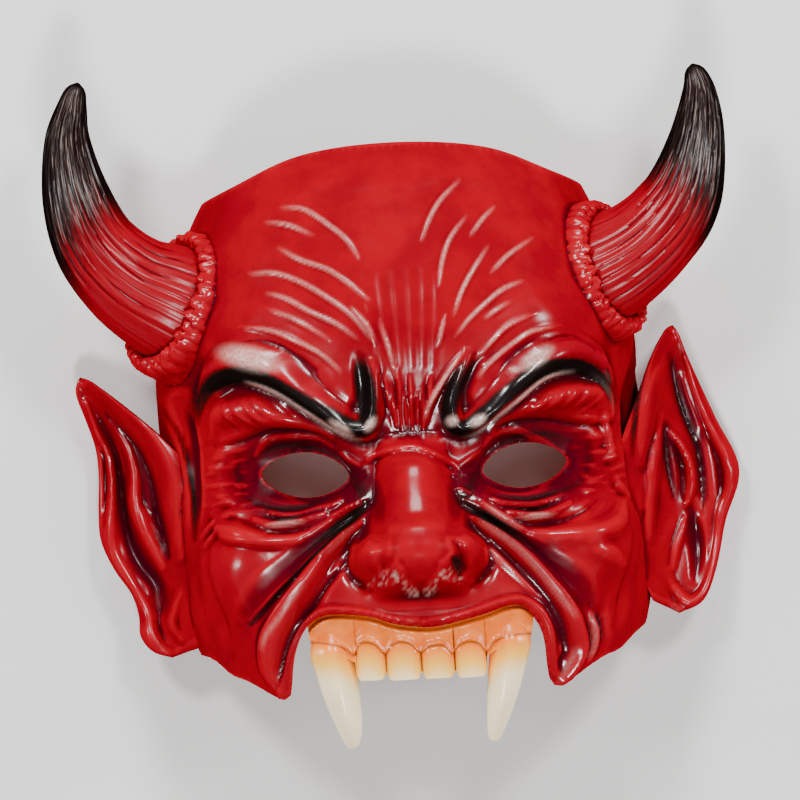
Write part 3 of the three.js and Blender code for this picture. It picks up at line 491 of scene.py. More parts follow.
def skinHeight(x, y):
    mouth = clamp((face["mouthHalfWidth"] - np.abs(x)) / 8) * (y < 0)
    lip = edgeDrop(x, y, frontOutline, face["lipEdgeRadius"])
    height = mainForms(x, y) + unevenness(x, y) - mouth * lip
    for hole in eyeHoles:
        height -= edgeDrop(x, y, almond(hole, 32), face["eyeEdgeRadius"])
    for strokes in (browStrokes, eyeStrokes, noseStrokes, cheekStrokes, fineStrokes()):
        addStrokes(height, x, y, strokes)
    for side in (-1, 1):  # dark gap between the face and the front of each ear
        addStrokes(height, x, y, [("roll", 0, [(side * 72, 6, 2.4, -0.6), (side * 69.2, -8, 2.8, -2),
                                               (side * 67.8, -22, 2.8, -2), (side * 69, -36, 2.4, -0.6)])])
    return height


# A grid primitive bent to a surface and closed underneath, down to a level floor
def skinSolid(name, columns, rows, depth, heightAt, floor):
    deselectAll()
    bpy.ops.mesh.primitive_grid_add(x_subdivisions=columns, y_subdivisions=rows, size=2)
    piece = bpy.context.object
    piece.name = name
    flat = readPoints(piece)
    side = flat[:, 0]
    angle = math.pi / 2 * side * (face["crowding"] + (1 - face["crowding"]) * side**4)
    y = np.interp((flat[:, 1] + 1) / 2, *zip(*face["rowPlaces"]))
    points = facePoint(angle, y)
    lift = heightAt(points[:, 0], points[:, 1]) - depth
    writePoints(piece, points + faceNormal(angle, y) * lift[:, None])
    openAll(piece)
    bpy.ops.mesh.extrude_region_move(TRANSFORM_OT_translate={"value": (0, 0, -1)})
    bpy.ops.transform.resize(value=(1, 1, 0), center_override=(0, 0, floor))
    bpy.ops.object.mode_set(mode="OBJECT")
    return turnOutward(piece)


# A slab cut to an outline seen from the front, or from the side when alongX is set
def outlineSlab(name, outline, low, high, alongX=False):
    deselectAll()
    bpy.ops.mesh.primitive_circle_add(vertices=len(outline), radius=1, fill_type="NGON")
    piece = bpy.context.object
    piece.name = name
    first, second = np.array(outline, float).T
    level = np.full(len(outline), low)
    writePoints(piece, np.stack([level, first, second] if alongX else [first, second, level], axis=1))
    extrudeAll(piece, (high - low, 0, 0) if alongX else (0, 0, high - low))
    return turnOutward(piece)


def combine(piece, other, operation):
    pick(piece)
    joint = piece.modifiers.new("combine", "BOOLEAN")
    joint.operation = operation
    joint.solver = "MANIFOLD"
    joint.material_mode = "TRANSFER"
    joint.object = other
    bpy.ops.object.modifier_apply(modifier=joint.name)
    bpy.data.objects.remove(other)
    return piece


# Clears slivers, and pairs of faces that lie back to back on the same corners
def clearStrays(piece, slivers=0.001):
    openAll(piece)
    bpy.ops.mesh.select_mode(type="FACE")
    bpy.ops.mesh.select_all(action="SELECT")
    bpy.ops.mesh.dissolve_degenerate(threshold=slivers)
    bpy.ops.mesh.select_all(action="DESELECT")
    bpy.ops.object.mode_set(mode="OBJECT")
    seen = {}
    for facet in piece.data.polygons:
        corners = frozenset(facet.vertices)
        if corners in seen:
            facet.select = seen[corners].select = True
        seen[corners] = facet
    bpy.ops.object.mode_set(mode="EDIT")
    bpy.ops.mesh.delete(type="FACE")
    bpy.ops.object.mode_set(mode="OBJECT")


frontOutline = [
    (0, 81), (28, 78), (48, 70), (66, 62), (84, 50), (84, 0), (84, -55), (74, -69), (65, -75), (60, -79),
    (55, -80.5), (50, -83), (45, -86), (40.4, -88.4), (37.4, -86.5), (36.5, -80), (36.3, -75), (35.2, -70),
    (33, -66), (30, -62.5), (25, -62.5), (20, -64), (15, -65), (10, -66), (3, -67), (-3, -66.5), (-10, -65),
    (-15, -63), (-22, -61.8), (-29, -61.5), (-32, -62.5), (-35.5, -65), (-38.5, -70), (-40.3, -76), (-41.2, -82),
    (-42.4, -86.6), (-46, -86.4), (-50, -84), (-55, -81), (-60, -79), (-66, -74), (-76, -71), (-88, -55), (-88, 0),
    (-88, 50), (-70, 63), (-50, 71), (-28, 79)]
sideOutline = [
    (-40, 0), (46, 0), (58, 5), (68, 18), (76, 34), (82, 50), (96, 60), (96, 140), (-100, 140), (-100, 56),
    (-84, 38), (-72, 24), (-60, 11), (-50, 3)]

eyeHoles = [
    {"x": -33, "y": -19, "halfLength": 13.4, "halfHeight": 6.9, "turn": -0.08},
    {"x": 34, "y": -20.5, "halfLength": 13, "halfHeight": 6.8, "turn": 0.05},
]


def almond(hole, count=64):
    points = []
    for i in range(count):
        angle = 2 * math.pi * i / count
        along = hole["halfLength"] * math.cos(angle)
        across = hole["halfHeight"] * math.sin(angle) * (0.65 + 0.35 * abs(math.sin(angle)))
        points.append((hole["x"] + along * math.cos(hole["turn"]) - across * math.sin(hole["turn"]),
                       hole["y"] + along * math.sin(hole["turn"]) + across * math.cos(hole["turn"])))
    return points


horns = {
    # corners (x, y, z, width) from root to tip
    "left": [(-60, 31, 34, 36), (-70, 36, 40, 37), (-83, 44, 44, 31), (-93, 56, 47, 26), (-98, 72, 48, 21),
             (-99.5, 88, 46, 14.5), (-97.5, 99, 44, 9.4), (-95.2, 106.4, 43, 5.4)],
    "right": [(53, 36, 36, 33), (63, 38, 41, 34), (77, 46, 45, 29), (88, 58, 47, 25), (94, 75, 47, 18),
              (96, 90, 45, 11), (94.6, 99.4, 43, 5)],
    "sides": 116,
    "rings": 68,
    "grooves": 27,
    "grooveDepth": 0.62,
    "smoothTip": 0.2,  # the last share of the length, along which the grooves fade
    "roundTip": 0.04,  # and the share that rounds the end
    "collarPlace": 0.09,  # how far along the horn its collar sits
    "collarThickness": 9,
    "collarStandOff": 2,
    "collarSegments": 224,
    "collarSides": 26,
    "beadsRound": 32,
    "beadsAcross": 6,
    "beadSeed": 7,
}


# Middle line of a horn or fang, with its radius and directions at each step
def curveFrame(corners, steps):
    line = smoothLine(corners, steps)
    along = np.gradient(line[:, :3], axis=0)
    along /= np.linalg.norm(along, axis=1, keepdims=True)
    across = np.cross(along, (0, 0, 1))
    across /= np.linalg.norm(across, axis=1, keepdims=True)
    return line[:, :3], line[:, 3] / 2, along, across, np.cross(across, along)


# A cylinder primitive cut into rings and bent along a line, its radius given round and along it
def bentCylinder(name, line, across, forward, radiusAt, sides, flatness=1.0):
    steps = len(line) - 1
    deselectAll()
    bpy.ops.mesh.primitive_cylinder_add(vertices=sides, radius=1, depth=2, end_fill_type="NGON")
    piece = bpy.context.object
    piece.name = name
    bpy.ops.object.mode_set(mode="EDIT")
    bpy.ops.mesh.select_mode(type="EDGE")
    bpy.ops.mesh.select_all(action="DESELECT")
    bpy.ops.object.mode_set(mode="OBJECT")
    for edge in piece.data.edges:
        low, high = (piece.data.vertices[v].co.z for v in edge.vertices)
        edge.select = abs(low - high) > 1
    bpy.ops.object.mode_set(mode="EDIT")
    bpy.ops.mesh.subdivide(number_cuts=steps - 1)
    bpy.ops.object.mode_set(mode="OBJECT")
    points = readPoints(piece)
    ring = np.clip(np.rint((points[:, 2] + 1) / 2 * steps).astype(int), 0, steps)
    turn = np.arctan2(points[:, 1], points[:, 0])
    turn += 0.45 * np.cos(turn)  # closer together on the front
    reach = radiusAt(turn, ring / steps)
    writePoints(piece, line[ring] + across[ring] * (reach * np.cos(turn))[:, None]
                + forward[ring] * (flatness * reach * np.sin(turn))[:, None])
    return turnOutward(piece)


def makeHorn(side):
    line, radius, _, across, forward = curveFrame(horns[side], horns["rings"])

    def radiusAt(turn, share):
        base = np.interp(share, np.linspace(0, 1, len(radius)), radius)
        wander = 0.8 * np.sin(4 * share + 2 * np.sin(turn)) + 0.5 * np.sin(9 * share + 3 * turn)
        wave = np.cos(horns["grooves"] * turn + wander)
        broken = 0.65 + 0.35 * np.sin(13 * share + 5 * np.sin(2 * turn))
        groove = -horns["grooveDepth"] * broken * clamp(wave)**4
        fine = 0.1 * np.sin(37 * turn + 4 * np.sin(7 * share))
        start = 1 - horns["roundTip"]
        tip = np.sqrt(clamp(1 - np.clip((share - start) / horns["roundTip"], 0, 0.985)**2))
        return (base + (groove + fine) * clamp((1 - share) / horns["smoothTip"])) * tip

    return bentCylinder(side + " horn", line, across, forward, radiusAt, horns["sides"])


# A torus primitive laid round the root of a horn and covered with beads in uneven rows
def makeCollar(side):
    line, _, along, across, forward = curveFrame(horns[side], horns["rings"])
    k = int(horns["collarPlace"] * horns["rings"])
    ringRadius = horns[side][1][3] / 2 + horns["collarStandOff"]
    tube = horns["collarThickness"] / 2
    deselectAll()
    bpy.ops.mesh.primitive_torus_add(major_segments=horns["collarSegments"], minor_segments=horns["collarSides"],
                                     major_radius=2, minor_radius=1)
    piece = bpy.context.object
    piece.name = side + " collar"
    points = readPoints(piece)
    turn = np.arctan2(points[:, 1], points[:, 0])
    tilt = np.arctan2(points[:, 2], np.hypot(points[:, 0], points[:, 1]) - 2)
    tilt -= 0.45 * np.sin(tilt)  # closer together on the outside
    flat = (np.abs(np.cos(tilt))**3 + np.abs(np.sin(tilt))**3)**(-1 / 3)
    rows, beads = horns["beadsAcross"], horns["beadsRound"]
    crossed = (tilt / (2 * math.pi) % 1) * rows + 0.16 * np.sin(turn * 11)
    row = np.floor(crossed).astype(int) % rows
    turned = (turn / (2 * math.pi) % 1) * beads + 0.37 * row + 0.12 * np.sin(turn * 7)
    bead = np.floor(turned).astype(int) % beads
    tall = np.random.default_rng(horns["beadSeed"]).uniform(0.45, 1.0, (beads, rows))[bead, row]
    bump = np.abs(np.sin(math.pi * turned))**0.5 * np.abs(np.sin(math.pi * crossed))**0.5 * tall
    bump += 0.2 * np.sin(37 * turn + 3 * np.sin(5 * tilt)) * np.sin(9 * tilt + 2 * np.sin(17 * turn))
    reach = tube * flat * (0.76 + 0.26 * bump)
    ringWay = across[k] * np.cos(turn)[:, None] + forward[k] * np.sin(turn)[:, None]
    writePoints(piece, line[k] + ringWay * (ringRadius + 0.8 * reach * np.cos(tilt))[:, None]
                + along[k] * (2 * reach * np.sin(tilt))[:, None])
    return turnOutward(piece)


# Ears: (x, y, z) of the edge at the head and of the free edge from lobe to tip, and the strokes
# between them: rims, grooves, middle ridges, the dark channel and the thin back rim
leftEar = {
    "inner": [
        (-70, -71, 27), (-70, -58, 31), (-68, -42, 38), (-64, -26, 44), (-68, -16, 42), (-77, -5, 34), (-90, 7, 24),
        (-101, 16, 15)],
    "outer": [
        (-79, -73.6, 24), (-85, -71.4, 22), (-88.6, -66.5, 20), (-88.9, -60, 17), (-90.8, -53, 15),
        (-95.8, -45, 13), (-99.4, -36, 11), (-99.6, -27, 10), (-98.8, -16, 10), (-99.2, -7, 10), (-101.6, 2, 11),
        (-104, 10, 12), (-103.6, 15.5, 13)],
    "strokes": [
        # broad front rim, its inner groove, the middle ridge, the dark channel and the thin back rim
        ("roll", 0.1, [(-74.5, -42, 3, 1.6), (-74.5, -36, 4, 3), (-75, -28, 5.4, 4.4), (-75, -20, 6, 4.8),
            (-77, -12, 5.8, 4.6), (-81, -4, 5, 4), (-87, 3, 4.2, 3.2), (-94, 9, 3.4, 2.4), (-101, 14, 2.4, 1)]),
        ("crease", 0, [(-77.5, -42, 1.2, -1), (-79, -36, 1.6, -3), (-81, -27, 1.8, -3.2), (-82, -18, 1.8, -2.8),
            (-85, -9, 1.8, -2.4), (-90, -2, 1.6, -1.8), (-95, 4, 1.2, -0.8)]),
        ("roll", 0, [(-80.5, -45, 2.2, 1.4), (-83, -39, 3, 3), (-86, -31, 3.4, 4.2), (-87.6, -24, 3.2, 4),
            (-87.4, -16, 2.8, 2.8), (-89, -7, 2.4, 1.6), (-93, 1, 2, 0.6)]),
        ("roll", 0, [(-82, -58, 3, -1.2), (-82.5, -51, 3.6, -3), (-87.5, -43, 3.4, -3.4), (-90.5, -35, 2.8, -3.2),
            (-91.6, -26, 2.2, -2.8), (-91.8, -17, 1.8, -2.4), (-93, -8, 1.6, -1.8), (-97, 2, 1.4, -1)]),
        ("roll", 0, [(-81, -71.5, 3.4, 1.4), (-85, -66, 3.4, 2), (-86.4, -58, 3), (-91.5, -48.5, 3.2, 2.4),
            (-95.8, -39, 3.2, 2.6), (-95.8, -29, 2.6, 3), (-94.6, -19, 2, 3.2), (-95, -10, 1.8, 2.6),
            (-98, -2, 1.6, 1.8), (-101, 8, 1.6, 1)]),
        ("crease", 0, [(-96.6, -6, 1.2, -0.6), (-96.8, -14, 1.2, -1.4), (-97, -22, 1.2, -1.2),
            (-97.6, -30, 1.2, -0.6)]),
        ("ridge", 0.4, [(-94.4, -9, 1.1, 0.51), (-94, -18, 1.1, 0.85), (-94.3, -27, 1.1, 0.42)]),
        ("ridge", 0.4, [(-91.8, -7, 1.1, 0.42), (-90.6, -13, 1.1, 0.68), (-90.6, -19, 1.1, 0.34)]),
        ("ridge", 0.4, [(-84.5, -27, 1.1, 0.42), (-82.8, -31, 1.1, 0.68), (-80, -36, 1.1, 0.42)]),
        ("roll", 0, [(-75, -53, 1.8, 1), (-77.4, -58, 2.4, 2), (-78.4, -63.5, 2.4, 2.2), (-76, -68, 2, 1)]),
        ("crease", 0, [(-80.6, -56, 1.2, -0.6), (-82.2, -62, 1.4, -1.2), (-81, -68, 1.2, -0.6)])],
}

rightEar = {
    "inner": [
        (72, -66, 27), (68, -55, 32), (67, -43, 37), (64, -30, 43), (64, -18, 43), (71, -2, 37), (77, 11, 27),
        (83, 20, 18)],
    "outer": [
        (80, -70.5, 24), (88, -67, 20), (93, -57, 15), (97, -43, 11), (102.5, -27, 9), (96, -10, 10), (89, 8, 13),
        (85.5, 19, 16)],
    "strokes": [
        ("roll", -0.1, [(71, -22, 3, 1), (72, -14, 4.4, 3), (74, -5, 4.6, 4), (77, 3, 4, 3.8), (80.4, 9, 3.2, 3),
            (83.4, 15, 2.4, 1.4)]),
        ("roll", 0, [(72, -46, 2, 1), (72.6, -38, 2.6, 2.8), (73.8, -30, 2.8, 3.6), (75.4, -22, 2.6, 3.4),
            (77.4, -14, 2, 2.2), (78.6, -8, 1.8, 1)]),
        ("ridge", 0.5, [(70.2, -36, 1.4, 0.51), (70.8, -30, 1.4, 0.94), (73, -24.5, 1.4, 1.02),
            (75.6, -18, 1.4, 0.68)]),
        ("crease", 0, [(83, 9, 1.7, -0.8), (83.8, 1, 1.8, -2.4), (85.2, -6, 1.9, -3), (87.2, -12.5),
            (89.4, -19, 1.9, -2.8), (90.3, -27, 1.8, -2.4), (90.2, -35, 1.7, -1.4), (89.8, -40, 1.7, -0.6)]),
        ("ridge", 0, [(82.6, 4, 1.4, 0.59), (84.2, -3, 1.4, 0.94), (86, -9.6), (88.3, -16, 1.4, 0.59)]),
        ("ridge", 0, [(86.2, 3, 1.4, 0.68), (87.4, -2, 1.4, 1.02), (89, -7, 1.4, 0.85), (91, -13, 1.4, 0.42)]),
        ("roll", 0, [(80.6, -13.5, 1.4, 1), (83.6, -17.5, 1.9, 2.8), (86.2, -23.5, 2, 3.4), (87, -30, 1.9, 3.2),
            (85, -36.4, 1.4, 1.4)]),
        ("crease", 0, [(82, -17, 1.7, -0.8), (83.6, -23, 1.7, -2), (84, -29, 1.7, -1.8), (83, -34, 1.7, -0.6)]),
        ("ridge", 0, [(84.8, -26.5, 1.4, 0.51), (85.2, -29.5, 1.4, 0.85), (85, -33, 1.4, 0.51)]),
        ("crease", 0, [(79, -12, 1.7, -0.8), (79.2, -19, 1.9, -2.4), (79.8, -27, 1.8, -2.2),
            (80.6, -34, 1.7, -0.8)]),
        ("roll", 0, [(86, -38, 2.6, -0.8), (87, -46, 3.6, -3.2), (87, -54, 3.2, -2.6), (85.6, -60, 2.2, -0.8)]),
        ("roll", 0, [(84.6, -40, 1.4, 0.8), (82.6, -45, 1.8, 1.8), (80.6, -50, 2, 1.6), (79, -56, 1.8, 0.8)]),
        ("roll", 0, [(79, -63, 2.4, 1.4), (82.5, -67, 2.6, 2), (87.6, -65), (91.4, -58, 2.4, 1.8), (94, -49),
            (95.6, -40, 2.4, 2.2), (99, -31, 2.8, 2.8), (98.4, -23, 2.6, 2.4), (94.5, -14, 2.2, 1.8),
            (90.5, -3, 1.8, 1.4), (87.6, 9, 1.6, 1)]),
        ("crease", 0, [(96, -38, 1.7, -0.6), (96, -31, 1.8, -1.6), (95, -23, 1.8, -1.4), (92.6, -15, 1.7, -0.6)]),
        ("ridge", 0, [(76.6, -57, 1.4, 0.51), (78.6, -61.6, 1.4, 1.02), (82, -65, 1.4, 0.51)]),
        ("ridge", 0, [(80, -42, 1.4, 0.26), (75.5, -50, 1.4, 0.42), (74.5, -58, 1.4, 0.26)])],
}

ears = {
    "left": leftEar,
    "right": rightEar,
    "rootThickness": 9,
    "edgeThickness": 4.5,
    "bowl": 7,
    "length": 92,
    "roundTip": 0.035,  # share of the length that rounds the tip
    "columns": 50,
    "rows": 100,
}


# A grid primitive with a second sheet behind it: how far across and up each point is, and whether
# it is on the sheet behind
def twoSheets(name, columns, rows):
    deselectAll()
    bpy.ops.mesh.primitive_grid_add(x_subdivisions=columns, y_subdivisions=rows, size=2)
    piece = bpy.context.object
    piece.name = name
    extrudeAll(piece, (0, 0, -1))
    flat = readPoints(piece)
    return piece, (flat[:, 0] + 1) / 2, (flat[:, 1] + 1) / 2, flat[:, 2] < -0.5


def makeEar(side):
    piece, u, v, isBack = twoSheets(side + " ear", ears["columns"], ears["rows"])
    share = u if side == "right" else 1 - u
    edges = []
    for name in ("inner", "outer"):
        line = smoothLine(ears[side][name], 200)
        edges.append(np.stack([np.interp(v, np.linspace(0, 1, 201), line[:, k]) for k in range(3)], axis=1))
    end = np.sqrt(1 - clamp((v - (1 - ears["roundTip"])) / ears["roundTip"])**2)
    middle = (edges[0] + edges[1]) / 2
    edges = [middle + (edge - middle) * end[:, None] for edge in edges]
    points = edges[0] + (edges[1] - edges[0]) * share[:, None]
    narrow = np.sin(math.pi * np.minimum(1, 0.08 + v * 0.84))
    bowl = ears["bowl"] * narrow * np.sin(math.pi * share)**1.5
    relief = np.zeros(len(points))
    addStrokes(relief, points[:, 0], points[:, 1], ears[side]["strokes"])
    thickness = ears["rootThickness"] + (ears["edgeThickness"] - ears["rootThickness"]) * share
    wide = np.linalg.norm(edges[1] - edges[0], axis=1)
    edgeGap = np.minimum((1 - share) * wide, np.minimum(v, 1 - v) * ears["length"])
    half = ears["edgeThickness"] / 2
    rounding = half - np.sqrt(np.clip(half**2 - np.clip(half - edgeGap, 0, half)**2, 0, None))
    points[:, 2] += np.where(isBack, 0.7 * rounding - thickness - 0.6 * bowl, relief - bowl - rounding)
    writePoints(piece, points)
    return turnOutward(piece)


# The strip of upper teeth, one moulding of gum, four incisors and two long fangs
teeth = {
    "left": -35.2,
    "right": 33.8,
    "top": -55.5,
    "bottom": -85,
    "thickness": 5.5,
    "behindLip": 0.35,  # how far the gum stands behind the rubber of the lip
    "proud": 0.9,  # and how far it comes forward again below the lip's edge
    "fangGumStep": 1.3,
    "columns": 200,
    "rows": 84,
    "gumLine": [
        (-36, -69.5), (-31, -70), (-27, -70.9), (-24, -72.3), (-21.8, -74.2), (-20, -71.2), (-17.6, -70.5),
        (-15, -71.5), (-12.3, -74.3), (-10, -71.8), (-7.4, -71), (-4.6, -71.7), (-1.6, -74.5), (1, -73),
        (3.8, -72.6), (6, -73.2), (7.9, -75.6), (10, -73.4), (13.4, -72.3), (16.4, -73.4), (18.6, -75.8), (21, -73),
        (25, -71.6), (29, -71.2), (34, -71.6)],
    "lipEdge": [
        (-36, -66), (-32, -62.5), (-29, -61.5), (-22, -61.8), (-15, -63), (-10, -65), (-3, -66.5), (3, -67),
        (10, -66), (15, -65), (20, -64), (25, -62.5), (30, -62.3), (34, -65.5)],
    "incisors": [(-21.4, -12.3, -82), (-12.1, -1.6, -82.4), (-1.4, 8.5, -82.6), (8.7, 18.3, -83)],
    # fangs: (x, y, width) down each of them
    "leftFang": [
        (-28.2, -67, 8), (-28.2, -72.5, 12.9), (-27.5, -78, 12), (-26.3, -85, 11), (-25.3, -91, 9.2),
        (-24.5, -96, 7.4), (-24.1, -100, 5.2), (-24, -102.3, 2.8)],
    "rightFang": [
        (25.8, -67, 7.5), (25.6, -72.5, 12.3), (24.8, -78, 11.2), (23.2, -85, 9.8), (21.8, -91, 8.2),
        (20.5, -96, 6.4), (19.4, -100.4, 4.6), (18.9, -102.8, 2.8)],
    "fangRoot": -64,
    "fangLength": 38,
    "fangDepth": -2.85,
    "fangBow": 3,  # how far a fang bows forward
    "fangSteps": 60,
    "fangSides": 48,
    "fangFlatness": 0.85,
}


def gumFront(x):
    muzzle = pad(x, face["muzzle"][1], *face["muzzle"])
    return faceDepth(x, np.full_like(x, -60.0)) + muzzle - face["wall"] - teeth["behindLip"]


def gumLineAt(x):
    line = smoothLine(teeth["gumLine"], 240)
    return np.interp(x, line[:, 0], line[:, 1])


def toothRelief(x, y):
    above = y - gumLineAt(x)
    height = np.zeros_like(x)
    for left, right, _ in teeth["incisors"]:
        across = (x - (left + right) / 2) / ((right - left) / 2)
        crown = 1.9 * clamp(1 - np.abs(across)**5)**0.6
        root = 0.8 * clamp(1 - across**2) * np.exp(-np.clip(above - 1, 0, None) / 4)
        height = np.where(np.abs(across) < 1, height + np.where(above < 0, crown, 0.7 + root), height)
    beside = (x < teeth["incisors"][0][0]) | (x > teeth["incisors"][-1][1])
    height = np.where(beside, teeth["fangGumStep"], height)
    lip = 0.45 * np.exp(-((above - 0.8) / 0.8)**2)
    sunk = -0.9 / (1 + np.exp(np.clip(above * 5, -40, 40)))
    grain = 0.06 * np.sin(1.9 * x + 2 * np.sin(0.7 * y)) * np.sin(1.3 * y)
    return height + lip + sunk + grain + teeth["proud"]


def makeGum():
    piece, u, v, isBack = twoSheets("moulded teeth", teeth["columns"], teeth["rows"])
    x = teeth["left"] + u * (teeth["right"] - teeth["left"])
    y = teeth["bottom"] + v * (teeth["top"] - teeth["bottom"])
    hidden = clamp((y - through(teeth["lipEdge"], x) + 1.8) / 1.2)
    z = gumFront(x) + np.where(isBack, -teeth["thickness"], toothRelief(x, y) * (1 - hidden))
    writePoints(piece, np.stack([x, y, z], axis=1))
    return turnOutward(piece)


def makeFang(side):
    fang = teeth[side + "Fang"]
    root = gumFront(np.array([float(fang[0][0])]))[0] + teeth["fangDepth"]
    corners = []
    for x, y, wide in fang:
        down = clamp((teeth["fangRoot"] - y) / teeth["fangLength"])
        corners.append((x, y, root + teeth["fangBow"] * math.sin(math.pi * down), wide))
    line, radius, _, across, forward = curveFrame(corners, teeth["fangSteps"])

    def radiusAt(turn, share):
        base = np.interp(share, np.linspace(0, 1, len(radius)), radius)
        return base * (1 + 0.05 * np.cos(4 * turn))

    return bentCylinder(side + " fang", line, across, forward, radiusAt, teeth["fangSides"],
                        teeth["fangFlatness"])


# The lower edge of the incisors, with a notch between each two
def toothEdge():
    outline = [(teeth["left"] - 1, teeth["top"] + 1), (-35.4, -60), (-35, -67.5), (-34.2, -72), (-32.6, -74.5),
               (-24, -75), (-21.5, -76.4)]
    for left, right, bottom in teeth["incisors"]:
        outline += [(left + 0.15, bottom + 2), (left + 0.8, bottom + 0.4), (left + 1.7, bottom),
                    (right - 1.7, bottom), (right - 0.8, bottom + 0.4), (right - 0.15, bottom + 2)]
    outline += [(18.5, -77), (21, -75.5), (30.2, -74.5), (32.3, -72), (33.2, -67.5), (33.8, -60),
                (teeth["right"] + 1, teeth["top"] + 1)]
    return outline[::-1]


# An sRGB hex colour in linear values
def colour(hexColour):
    channels = [int(hexColour[k:k + 2], 16) / 255 for k in (1, 3, 5)]
    return tuple(c / 12.92 if c <= 0.04045 else ((c + 0.055) / 1.055)**2.4 for c in channels) + (1,)


# Adds a node of a kind, or takes a node of the material, with its settings and links. Inputs go by
# name or in order, and are values, hex colours, or outputs of other nodes.
def addNode(material, kind, settings, inputs, output=0):
    tree = material.node_tree
    node = tree.nodes.new("ShaderNode" + kind) if isinstance(kind, str) else kind
    for name, value in settings.items():
        setattr(node, name, value)
    for socket, value in inputs.items() if isinstance(inputs, dict) else enumerate(inputs):
        if isinstance(value, bpy.types.NodeSocket):
            tree.links.new(value, node.inputs[socket])
        else:
            node.inputs[socket].default_value = colour(value) if isinstance(value, str) else value
    return node.outputs[output]


def newMaterial(name):
    material = bpy.data.materials.new(name)
    material.use_nodes = True
    return material, material.node_tree.nodes["Principled BSDF"]


# Settings that many nodes share
smooth = {"interpolation_type": "SMOOTHSTEP"}
rgba = {"data_type": "RGBA"}
plus, minus, times, timesPlus = [{"operation": name}
                                 for name in ("ADD", "SUBTRACT", "MULTIPLY", "MULTIPLY_ADD")]


# Grain of the cast rubber: a slow ripple, and pores about a millimetre across, drawn this coarse
# to show
def rubberGrain(material, fine, ripple):
    place = addNode(material, "TexCoord", {}, {}, "Object")
    normal = None
    for size, high in ((5.5, ripple), (1.3, fine)):
        noise = addNode(material, "TexNoise", {},
                        {"Vector": place, "Scale": 1 / (size * millimetre), "Detail": 2})
        inputs = {"Strength": 1, "Distance": high * millimetre, "Height": noise}
        if normal:
            inputs["Normal"] = normal
        normal = addNode(material, "Bump", {}, inputs)
    return normal


# Cast latex painted glossy red, mottled every 14 mm or so, with painted shade in its creases and hollows beside
# dark red glazing, a painted highlight of brighter red on its crests, sprayed black that is worn on the ridges, and
# pale painted highlights
latex, shader = newMaterial("glossy painted latex")
place = addNode(latex, "TexCoord", {}, {}, "Object")
sunk, glazeAndShade, black, paintedHighlight, matte = [addNode(latex, "Attribute", {"attribute_name": name}, {}, "Fac")
                                    for name in ("sunk", "glazeAndShade", "black", "paintedHighlight", "matte")]
mottle, speckle = [addNode(latex, "TexNoise", {}, {"Vector": place, "Scale": 1 / (size * millimetre),
                                                   "Detail": detail, "Roughness": rough})
                   for size, detail, rough in ((14, 4, 0.55), (1.1, 3, 0.6))]
patchy = addNode(latex, "MapRange", smooth, [mottle, 0.35, 0.65])
# painted shade: darker red where the surface lies sunk in its creases; painted highlight: brighter red on its
# crests
crease = addNode(latex, "MapRange", smooth, [sunk, 0.05, 0.5, 0, 0.75])
crestHighlight = addNode(latex, "MapRange", smooth, [sunk, -0.04, -0.28, 0, 0.4])
uneven = addNode(latex, "Math", timesPlus, [speckle, 0.3, -0.15])
# dark red of glazing, and painted shade gathered in the hollows
glazeAndShadeShare = addNode(latex, "Math", timesPlus, [glazeAndShade, 1.05, uneven])
glazeAndShadeShare = addNode(latex, "MapRange", smooth, [glazeAndShadeShare, 0.12, 0.95, 0, 0.92])
broken = addNode(latex, "Math", timesPlus, [speckle, 0.4, -0.2])
worn = addNode(latex, "Math", timesPlus, [crestHighlight, -0.35, broken])
cover = addNode(latex, "Math", plus, [black, worn])
cover = addNode(latex, "MapRange", smooth, [cover, 0.14, 0.92])
inBand = addNode(latex, "MapRange", smooth, [black, 0.02, 0.2])
sprayed = addNode(latex, "Math", times, [cover, inBand])
# painted highlight: pale brushing, broken up by fine noise
highlightBreakup = addNode(latex, "MapRange", smooth, [speckle, 0.3, 0.7, 0.5, 1])
brushedHighlight = addNode(latex, "Math", times, [paintedHighlight, highlightBreakup])
paint = "#850014"
for share, over in ((patchy, "#950015"), (crease, "#300008"), (glazeAndShadeShare, "#3c0010"), (crestHighlight, "#b8081f"),
                    (sprayed, "#140d0c"), (brushedHighlight, "#e2c2b6")):
    paint = addNode(latex, "Mix", rgba, {0: share, 6: paint, 7: over}, "Result")
gloss = addNode(latex, "MapRange", smooth, [mottle, 0.3, 0.7, 0.15, 0.22])
rough = addNode(latex, "Math", timesPlus, [matte, 0.22, gloss])
shine = addNode(latex, "MapRange", smooth, [matte, 0, 1, 0.45, 0])
addNode(latex, shader, {}, {"Base Color": paint, "Roughness": rough, "Specular IOR Level": shine, "IOR": 1.5,
                            "Normal": rubberGrain(latex, 0.014, 0.09)})

# Unpainted latex of the inside and the cut rim: dull, with the grain that the mould leaves
inside, shader = newMaterial("bare red latex")
place = addNode(inside, "TexCoord", {}, {}, "Object")
mottle = addNode(inside, "TexNoise", {}, {"Vector": place, "Scale": 1 / (9 * millimetre), "Detail": 3})
patchy = addNode(inside, "MapRange", smooth, [mottle, 0.3, 0.7])
bare = addNode(inside, "Mix", rgba, {0: patchy, 6: "#7c060b", 7: "#930a10"}, "Result")
addNode(inside, shader, {}, {"Base Color": bare, "Roughness": 0.62, "IOR": 1.5,
                             "Normal": rubberGrain(inside, 0.12, 0.2)})
